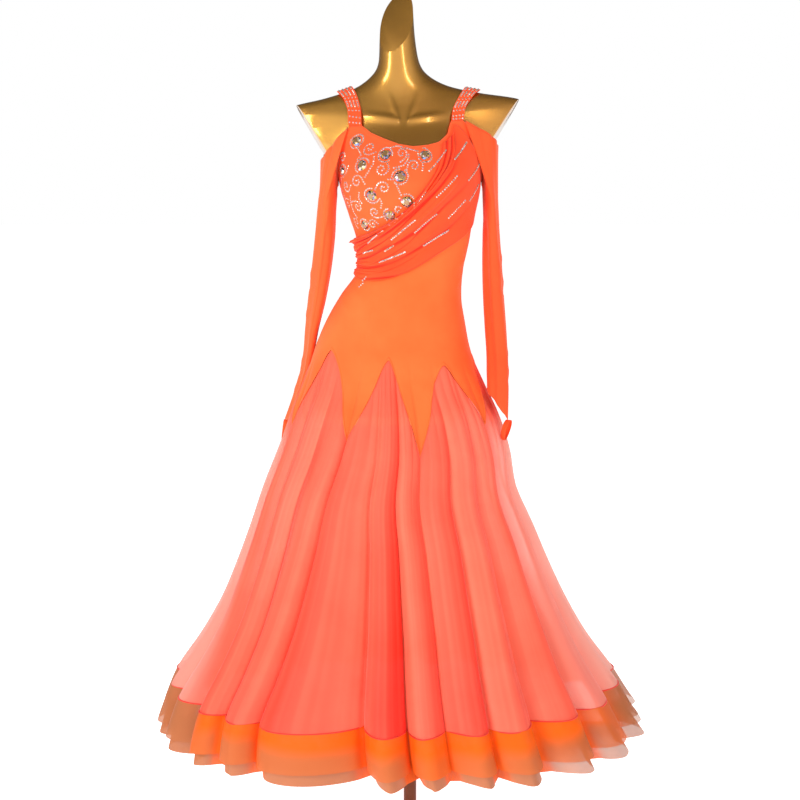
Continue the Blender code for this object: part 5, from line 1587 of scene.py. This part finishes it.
class DRESS_OT_hem(Step, bpy.types.Operator):
    """The stiff braid round the hem of both layers"""

    bl_idname = "dress.make_hem"
    bl_label = "Hem"

    def make(self, sizes, colours):
        braid = braid_material("Hem braid", colours.braid[:], colours.braid_pale[:])
        roll = thread_material("Rolled hem", colours.organza_shade_and_roll[:])
        lines = np.arange(FLUTE_COUNT * HEM_STEPS) / HEM_STEPS
        line, t = np.meshgrid(lines, np.linspace(0, 1, HEM_ROWS))
        for name, node, top, bottom, inside in (
                ("hem_braid", "hem_band", HEM_SEAM_Z, HEM_Z, 0.0),
                ("under_hem_braid", "under_hem_band", UNDER_SEAM_Z, UNDER_HEM_Z,
                 UNDER_SKIRT[-1].inside + UNDER_GAP)):
            z = mix(top - SEAM, bottom + HEM_WANDER * ring_drift(7, line, 7), t)
            made = skirt_sheet(name, line, z, np.full(z.shape, inside), True, sizes, 1.0)
            single, thin = braid_wear(line, z, t, node == "under_hem_band")
            attribute(made, "ply", 1 - single)
            attribute(made, "cover", BRAID_COVER * mix(1.0, thin, single))
            dress(made, braid, [node])
            rolled_edge(f"{name}_roll", top, inside, roll)


def rolled_edge(name, z, inside, material):
    """A thin roll of cloth along a hem seam."""
    line = np.arange(FLUTE_COUNT * ROLL_STEPS) / ROLL_STEPS
    height = np.full(line.shape, z)
    normals = outward(skirt_point, line, height)
    middle = skirt_point(line, height) + (ROLL_RADIUS * ROLL_PROUD - inside) * normals
    middle[:, 2] += ROLL_WANDER * ring_drift(9, line, 11)
    ahead = unit(np.roll(middle, -1, 0) - np.roll(middle, 1, 0))
    side = unit(np.cross(ahead, normals))
    turn = np.linspace(0, 2 * np.pi, ROLL_SIDES, endpoint=False)[:, None, None]
    grid = middle + ROLL_RADIUS * (np.cos(turn) * normals + np.sin(turn) * side)
    made = grid_object(name, np.concatenate([grid, grid[:1]]), closed=True)
    even_normals(made, ROLL_MERGE)
    dress(made, material)


# -------- stones and sewing

NEAR_UP = np.array([0.01, 0.01, 1.01])  # no stone's normal is along it
STONE_SIDES, STONE_SEED = 8, 11
# A small stone's levels from its girdle to its flat top: share of the radius, share of the height
STONE_CUT = ((1.0, 0.0), (0.86, 0.45), (0.42, 0.9))
STONE_HEIGHT = 0.62      # of its radius
STONE_LIFT = 0.0002
SASH_STONE_LIFT = 0.0003
# The sash's surface under a stone is a plane through its nearest points, the nearer the more
PLANE_POINTS, PLANE_BLUR, PLANE_LEAST = 14, 0.0025, 1e-4
SASH_REACH = 0.004       # farther than this from its points, a stone isn't on the sash
SCROLL_POINTS, TAIL_POINTS = 40, 8
SCROLL_INNER, SCROLL_GROWTH = 0.18, 0.82


def axes(normals):
    """Two axes across each normal."""
    across = unit(np.cross(normals, NEAR_UP))
    return across, np.cross(normals, across)


def tinted(obj, tints):
    """A colour for each face, for the stones' material."""
    layer = obj.data.color_attributes.new("tint", "FLOAT_COLOR", "CORNER")
    values = np.ones((len(obj.data.loops), 4))
    for face in obj.data.polygons:
        for corner in face.loop_indices:
            values[corner, :3] = tints[face.index]
    layer.data.foreach_set("color", values.ravel())


def stone_field(name, points, normals, radius, rng):
    """Low faceted domes at the given points, joined in one object."""
    verts, faces, tints = [], [], []
    for p, n, a, b in zip(points, normals, *axes(normals)):
        base, turn = len(verts), rng.uniform(0, 2 * np.pi)
        for share, height in STONE_CUT:
            for k in range(STONE_SIDES):
                angle = turn + 2 * np.pi * k / STONE_SIDES
                verts.append(p + radius * (share * (a * math.cos(angle) + b * math.sin(angle))
                                           + height * STONE_HEIGHT * n))
        for r in range(len(STONE_CUT) - 1):
            i, j = base + r * STONE_SIDES, base + (r + 1) * STONE_SIDES
            for k in range(STONE_SIDES):
                m = (k + 1) % STONE_SIDES
                faces.append((i + k, i + m, j + m, j + k))
        faces.append(tuple(base + (len(STONE_CUT) - 1) * STONE_SIDES + k
                           for k in range(STONE_SIDES)))
        while len(tints) < len(faces):
            # Each facet takes a foil tint, some of them painted reflections, dark and bright
            tints.append(STONE_FOIL_AND_REFLECTIONS[rng.integers(len(STONE_FOIL_AND_REFLECTIONS))])
    made = new_object(name, verts, faces, smooth=False)
    tinted(made, tints)
    return made


class SashMap:
    """Finds a point and normal of the sash at an angle and height on the body."""

    def __init__(self):
        grid, normals, deg, z = sash_surface()
        self.points, self.normals = grid.reshape(-1, 3), normals.reshape(-1, 3)
        self.place = np.stack([deg.ravel() * CHEST_METRE, z.ravel()], -1)

    def __call__(self, deg, z):
        from_here = self.place - (deg * CHEST_METRE, z)
        away = np.hypot(*from_here.T)
        near = np.argpartition(away, PLANE_POINTS)[:PLANE_POINTS]
        if away[near].min() > SASH_REACH:
            return None
        weight = bell(away[near], PLANE_BLUR)[:, None] + PLANE_LEAST
        plane = np.column_stack([np.ones(len(near)), from_here[near]])
        values = np.column_stack([self.points[near], self.normals[near]])
        fitted = np.linalg.lstsq(plane * weight, values * weight, rcond=None)[0][0]
        normal = unit(fitted[3:])
        return fitted[:3] + SASH_STONE_LIFT * normal, normal


def chest_places(marks, sash):
    """Points and normals on the dress's outside for (angle, height) marks."""
    found = []
    for deg, z in marks:
        place = sash(deg, z)
        if place is None:
            off = float(cloth_off(z)) + STONE_LIFT
            normal = body_normal(np.array(deg), ring_at(np.array(deg, float), np.array(z, float)))
            place = on_body(deg, z, off), normal
        found.append(place)
    points, normals = zip(*found)
    return np.array(points), unit(np.array(normals))


def spaced(path, pitch):
    """Marks evenly spaced along a path of (angle, height) corners."""
    path = np.asarray(path, float) * (CHEST_METRE, 1)
    lengths = np.concatenate([[0], np.cumsum(np.linalg.norm(np.diff(path, axis=0), axis=1))])
    count = max(2, round(lengths[-1] / pitch) + 1)
    at = np.linspace(0, lengths[-1], count)
    marks = np.stack([np.interp(at, lengths, path[:, k]) for k in (0, 1)], -1)
    return marks / (CHEST_METRE, 1)


def scroll(deg, z, size, start, turns, tail):
    """A spiral that winds out from a middle, with a straight tail."""
    t = np.linspace(0, 1, SCROLL_POINTS)
    angle = np.radians(start) + turns * 2 * np.pi * t
    r = size * (SCROLL_INNER + SCROLL_GROWTH * t)
    u, v = r * np.cos(angle), r * np.sin(angle)
    side = np.sign(turns)
    more = np.linspace(0.1, 1, TAIL_POINTS) * tail
    u = np.append(u, u[-1] - math.sin(angle[-1]) * side * more)
    v = np.append(v, v[-1] + math.cos(angle[-1]) * side * more)
    return np.stack([deg + u / CHEST_METRE, z + v], -1)


def ring_marks(deg, z, radius, pitch, start, turn):
    """Marks along an arc round a place."""
    count = max(3, round(math.radians(turn) * radius / pitch))
    angles = np.radians(start + np.arange(count + 1) * turn / count)
    return np.stack([deg + radius * np.cos(angles) / CHEST_METRE, z + radius * np.sin(angles)],
                    -1)


CRYSTAL_SIDES, CRYSTAL_SEED = 12, 7
CRYSTAL_SPREAD, CRYSTAL_UNEVEN = 1.09, 0.04
CRYSTAL_SUNK = 0.0006


def crystal_mesh(number, crystal, p, n, rng):
    """Points, faces and tints of one cut crystal."""
    across, along = axes(n)
    verts, faces, tints = [], [], []
    sides = CRYSTAL_SIDES
    for share, height in CRYSTAL_CUT:
        for k in range(sides):
            angle = 2 * np.pi * (k + 0.5 * (height > 0.5)) / sides
            uneven = 1 + CRYSTAL_UNEVEN * math.cos(3 * angle + number)
            ridge = CRYSTAL_SPREAD * crystal.radius * share * uneven
            verts.append(p + ridge * (across * math.cos(angle) + along * math.sin(angle))
                         + n * (CRYSTAL_HEIGHT * height - CRYSTAL_SUNK))
    for r in range(len(CRYSTAL_CUT) - 1):
        i, j = r * sides, (r + 1) * sides
        for k in range(sides):
            m = (k + 1) % sides
            faces += [(i + k, i + m, j + k), (i + m, j + m, j + k)]
            # Each facet takes a foil tint, some of them painted reflections, dark and bright
            tints += [CRYSTAL_FOIL_AND_REFLECTIONS[rng.integers(len(CRYSTAL_FOIL_AND_REFLECTIONS))] for _ in range(2)]
    faces.append(tuple((len(CRYSTAL_CUT) - 1) * sides + k for k in range(sides)))
    tints.append(CRYSTAL_FOIL_AND_REFLECTIONS[0])
    return verts, faces, tints


class DRESS_OT_crystals(Step, bpy.types.Operator):
    """The large foiled crystals on the left chest"""

    bl_idname = "dress.make_crystals"
    bl_label = "Crystals"

    def make(self, sizes, colours):
        rng = np.random.default_rng(CRYSTAL_SEED)
        sash = SashMap()
        places, normals = chest_places([(c.deg, c.z) for c in CRYSTALS], sash)
        glass = stone_material("Foiled crystal", rough=0.09, coat=0.8)
        for number, (crystal, p, n) in enumerate(zip(CRYSTALS, places, normals)):
            verts, faces, tints = crystal_mesh(number, crystal, p, n, rng)
            made = new_object(f"crystal_{number + 1}", verts, faces, smooth=False)
            tinted(made, tints)
            dress(made, glass)


TOUCHING = 2.04          # radii from stone to stone in the sash's lines
NEAREST_STONES = 0.72    # of the pitch: the least distance between two scroll stones
SETTING_OFF, SETTING_CLEAR = 0.0032, 0.0020  # of the stones round a crystal's rim
SETTING_PITCH, SETTING_TURN = 0.9, (200, 340)
# Stones on a strap: rows of its grid from the front to the back, staggered by half, and columns
STRAP_STONE_ROWS = np.linspace(0.6, 47.4, 40)
STRAP_STONE_COLUMNS = (1, 3, 5, 7)
STRAP_STONE_SIZE = 0.9


def thinned(marks, pitch):
    """The marks that lie clear of each other and of the crystals."""
    kept = []
    for deg, z in marks:
        near = any(math.hypot((deg - d) * CHEST_METRE, z - h) < pitch * NEAREST_STONES
                   for d, h in kept)
        big = any(math.hypot((deg - c.deg) * CHEST_METRE, z - c.z) < c.radius + SETTING_CLEAR
                  for c in CRYSTALS)
        if not near and not big:
            kept.append((deg, z))
    return kept


class DRESS_OT_rhinestones(Step, bpy.types.Operator):
    """The small rhinestones: scrolls between the crystals, lines on the sash and straps"""

    bl_idname = "dress.make_rhinestones"
    bl_label = "Rhinestones"

    def make(self, sizes, colours):
        rng = np.random.default_rng(STONE_SEED)
        sash = SashMap()
        glass = stone_material("Rhinestone", rough=0.12, coat=1.0)
        pitch, radius = sizes.stone_pitch, sizes.stone_radius
        lines = [spaced([(a, b), (c, d)], TOUCHING * radius) for a, b, c, d in SASH_LINES]
        points, normals = chest_places(np.concatenate(lines), sash)
        made = stone_field("sash_stones", points, normals, radius, rng)
        dress(made, glass)

        marks = [spaced(scroll(*row), pitch) for row in SCROLLS]
        marks += [spaced(path, pitch) for path in VINES]
        for c in CRYSTALS:
            start, turn = rng.uniform(0, 360), rng.uniform(*SETTING_TURN)
            marks.append(ring_marks(c.deg, c.z, c.radius + SETTING_OFF, pitch * SETTING_PITCH,
                                    start, turn))
        points, normals = chest_places(thinned(np.concatenate(marks), pitch), sash)
        made = stone_field("scroll_stones", points, normals, radius, rng)
        dress(made, glass)

        for strap in STRAPS:
            grid = strap_grid(strap)
            faced = grid_normals(grid, STRAP_MIDDLE)
            rows = [round(row + 0.5 * (number % 2 == 0))
                    for number, row in enumerate(STRAP_STONE_ROWS)]
            i, j = (index.ravel() for index in np.meshgrid(rows, STRAP_STONE_COLUMNS,
                                                           indexing="ij"))
            made = stone_field(f"stones_{strap.name}", grid[i, j] + STONE_LIFT * faced[i, j],
                               faced[i, j], radius * STRAP_STONE_SIZE, rng)
            dress(made, glass)


THREAD_WIDTH = 0.0007
THREAD_LIFT = 0.0003
STITCH_PITCH = 1.35      # stitch lengths from one stitch to the next
STITCH_START = 0.001
STITCH_PLACES, STITCH_INSET = 700, 0.02  # over each panel, in lines
NECK_STITCHES, ZIGZAG_STITCHES = 0.82, 0.80  # of the binding's width, from the edge
STITCH_RISE = ((0, 0.1), (0.5, 0.9), (1, 0.1))  # share of a stitch, share of its width it stands
STITCH_AHEAD = 0.0005    # a short way on, which gives a stitch its direction


def stitches(name, points, normals, length, material):
    """Short raised threads along a path of points."""
    gaps = np.linalg.norm(np.diff(points, axis=0), axis=1)
    at = np.concatenate([[0], np.cumsum(gaps)])

    def along(values, place):
        return np.array([np.interp(place, at, values[:, k]) for k in range(3)])

    verts, faces = [], []
    for start in np.arange(STITCH_START, at[-1] - length, length * STITCH_PITCH):
        base = len(verts)
        for share, rise in STITCH_RISE:
            place = start + length * share
            p, n = along(points, place), unit(along(normals, place))
            side = unit(np.cross(n, along(points, place + STITCH_AHEAD) - p)) * THREAD_WIDTH / 2
            verts += [p - side, p + n * THREAD_WIDTH * rise, p + side]
        for r in (base, base + 3):
            faces += [(r, r + 1, r + 4, r + 3), (r + 1, r + 2, r + 5, r + 4)]
    dress(new_object(name, verts, faces), material)


class DRESS_OT_sewing(Step, bpy.types.Operator):
    """Stitching along the bound edges and the zigzag seam"""

    bl_idname = "dress.make_sewing"
    bl_label = "Sewing"

    def make(self, sizes, colours):
        thread = thread_material("Thread", colours.thread[:])
        for name, first in (("front", FRONT_LINE), ("back", BACK_LINE)):
            lines = np.linspace(first + STITCH_INSET, first + FLUTE_COUNT / 2 - STITCH_INSET,
                                STITCH_PLACES)
            neck = top_edge(lines)[1] - SEAM - sizes.binding_width * NECK_STITCHES
            zigzag = zigzag_z(lines) + SEAM + sizes.binding_width * ZIGZAG_STITCHES
            for edge, z in (("neck", neck), ("zigzag", zigzag)):
                normals = outward(dress_point, lines, z)
                points = dress_point(lines, z) + THREAD_LIFT * normals
                stitches(f"{edge}_stitches_{name}", points, normals, sizes.stitch_length, thread)


# -------- floor, light and camera

FLOOR_SIZE = 60
WHITE = (1.0, 1.0, 1.0)
# The light that reaches all but the glossy pieces, from below to above: place in the ramp and grey
AMBIENT = [(0.0, 0.62), (0.8, 0.20)]
CAMERA_PLACE, CAMERA_DOWN_DEG = (-0.021, -3.2, 1.43), 8.7
CAMERA_LENS, CAMERA_SENSOR, CAMERA_CLIP = 72, 36, 100


def greys(table):
    """A ramp's stops from a table of places and greys."""
    return [(at, (grey, grey, grey)) for at, grey in table]


def studio_world():
    """White behind the dress, a soft light round it, and a studio for glossy pieces to mirror."""
    world = bpy.data.worlds.new("Studio")
    world.use_nodes = True
    n = Nodes(world.node_tree)
    rays = n.add("ShaderNodeLightPath").outputs
    way = n.add("ShaderNodeSeparateXYZ")
    n.link(n.coords("Generated"), way.inputs["Vector"])
    around, above = (n.ramp(n.span(way.outputs[axis], 0.0, 1.0, start=-1.0), *greys(table))
                     for axis, table in (("Y", SURROUND), ("Z", CEILING)))
    mirrored = n.blend(around, above, 1.0, "MULTIPLY")
    ambient = n.ramp(way.outputs["Z"], *greys(AMBIENT))
    light = n.blend(ambient, mirrored, rays["Is Glossy Ray"])
    seen = n.blend(light, WHITE, rays["Is Camera Ray"])
    n.link(seen, n.tree.nodes["Background"].inputs["Color"])
    return world


def area_lamp(row):
    data = bpy.data.lights.new(row.name, "AREA")
    data.shape, data.size, data.size_y = "RECTANGLE", row.width, row.height
    data.energy = row.power
    lamp = bpy.data.objects.new(row.name, data)
    lamp.location = row.place
    lamp.rotation_euler = (Vector(row.target) - Vector(row.place)).to_track_quat(
        "-Z", "Y").to_euler()
    lamp.visible_glossy = row.mirrored
    return lamp


class DRESS_OT_stage(Step, bpy.types.Operator):
    """A plain pale floor, soft studio light and the camera"""

    bl_idname = "dress.make_stage"
    bl_label = "Stage"

    def make(self, sizes, colours):
        bpy.ops.mesh.primitive_plane_add(size=FLOOR_SIZE, location=(0, 0, 0))
        floor = bpy.context.object
        floor.name = "studio_floor"
        n = Finish("Pale floor")
        n.drive(Base_Color=n.ramp(n.noise(3.0, detail=2.0), *greys([(0.3, 0.93), (0.7, 0.96)])))
        n.set(Roughness=0.9, Specular_IOR_Level=0.1, Emission_Color=(*WHITE, 1),
              Emission_Strength=0.8)
        floor.data.materials.append(n.material)
        scene = bpy.context.scene
        scene.view_settings.view_transform = "Standard"
        scene.view_settings.look = "None"
        scene.world = studio_world()
        for row in LAMPS:
            scene.collection.objects.link(area_lamp(row))
        data = bpy.data.cameras.new("Camera")
        data.lens, data.sensor_width, data.clip_end = CAMERA_LENS, CAMERA_SENSOR, CAMERA_CLIP
        camera = bpy.data.objects.new("Camera", data)
        camera.location = CAMERA_PLACE
        camera.rotation_euler = (math.radians(90 - CAMERA_DOWN_DEG), 0, 0)
        scene.collection.objects.link(camera)
        scene.camera = camera


# -------- the add-on

STEPS = (DRESS_OT_form, DRESS_OT_stand, DRESS_OT_bodice, DRESS_OT_straps, DRESS_OT_sleeves,
         DRESS_OT_sash, DRESS_OT_skirt, DRESS_OT_hem, DRESS_OT_crystals, DRESS_OT_rhinestones,
         DRESS_OT_sewing, DRESS_OT_stage)


class DRESS_PT_panel(bpy.types.Panel):
    """Buttons and settings of the dress"""

    bl_label = "Ballroom Dance Dress"
    bl_idname = "DRESS_PT_panel"
    bl_space_type = "VIEW_3D"
    bl_region_type = "UI"
    bl_category = "Dress"

    def draw(self, context):
        for settings in (context.scene.dress_sizes, context.scene.dress_colours):
            box = self.layout.box()
            for key in settings.__annotations__:
                box.prop(settings, key)
        for step in STEPS:
            self.layout.operator(step.bl_idname)


CLASSES = (DressSizes, DressColours, *STEPS, DRESS_PT_panel)


def register():
    for cls in CLASSES:
        bpy.utils.register_class(cls)
    bpy.types.Scene.dress_sizes = bpy.props.PointerProperty(type=DressSizes)
    bpy.types.Scene.dress_colours = bpy.props.PointerProperty(type=DressColours)


def unregister():
    del bpy.types.Scene.dress_colours
    del bpy.types.Scene.dress_sizes
    for cls in reversed(CLASSES):
        bpy.utils.unregister_class(cls)


def main():
    register()
    for step in STEPS:
        group, call = step.bl_idname.split(".")
        getattr(getattr(bpy.ops, group), call)()


if __name__ == "__main__":
    main()
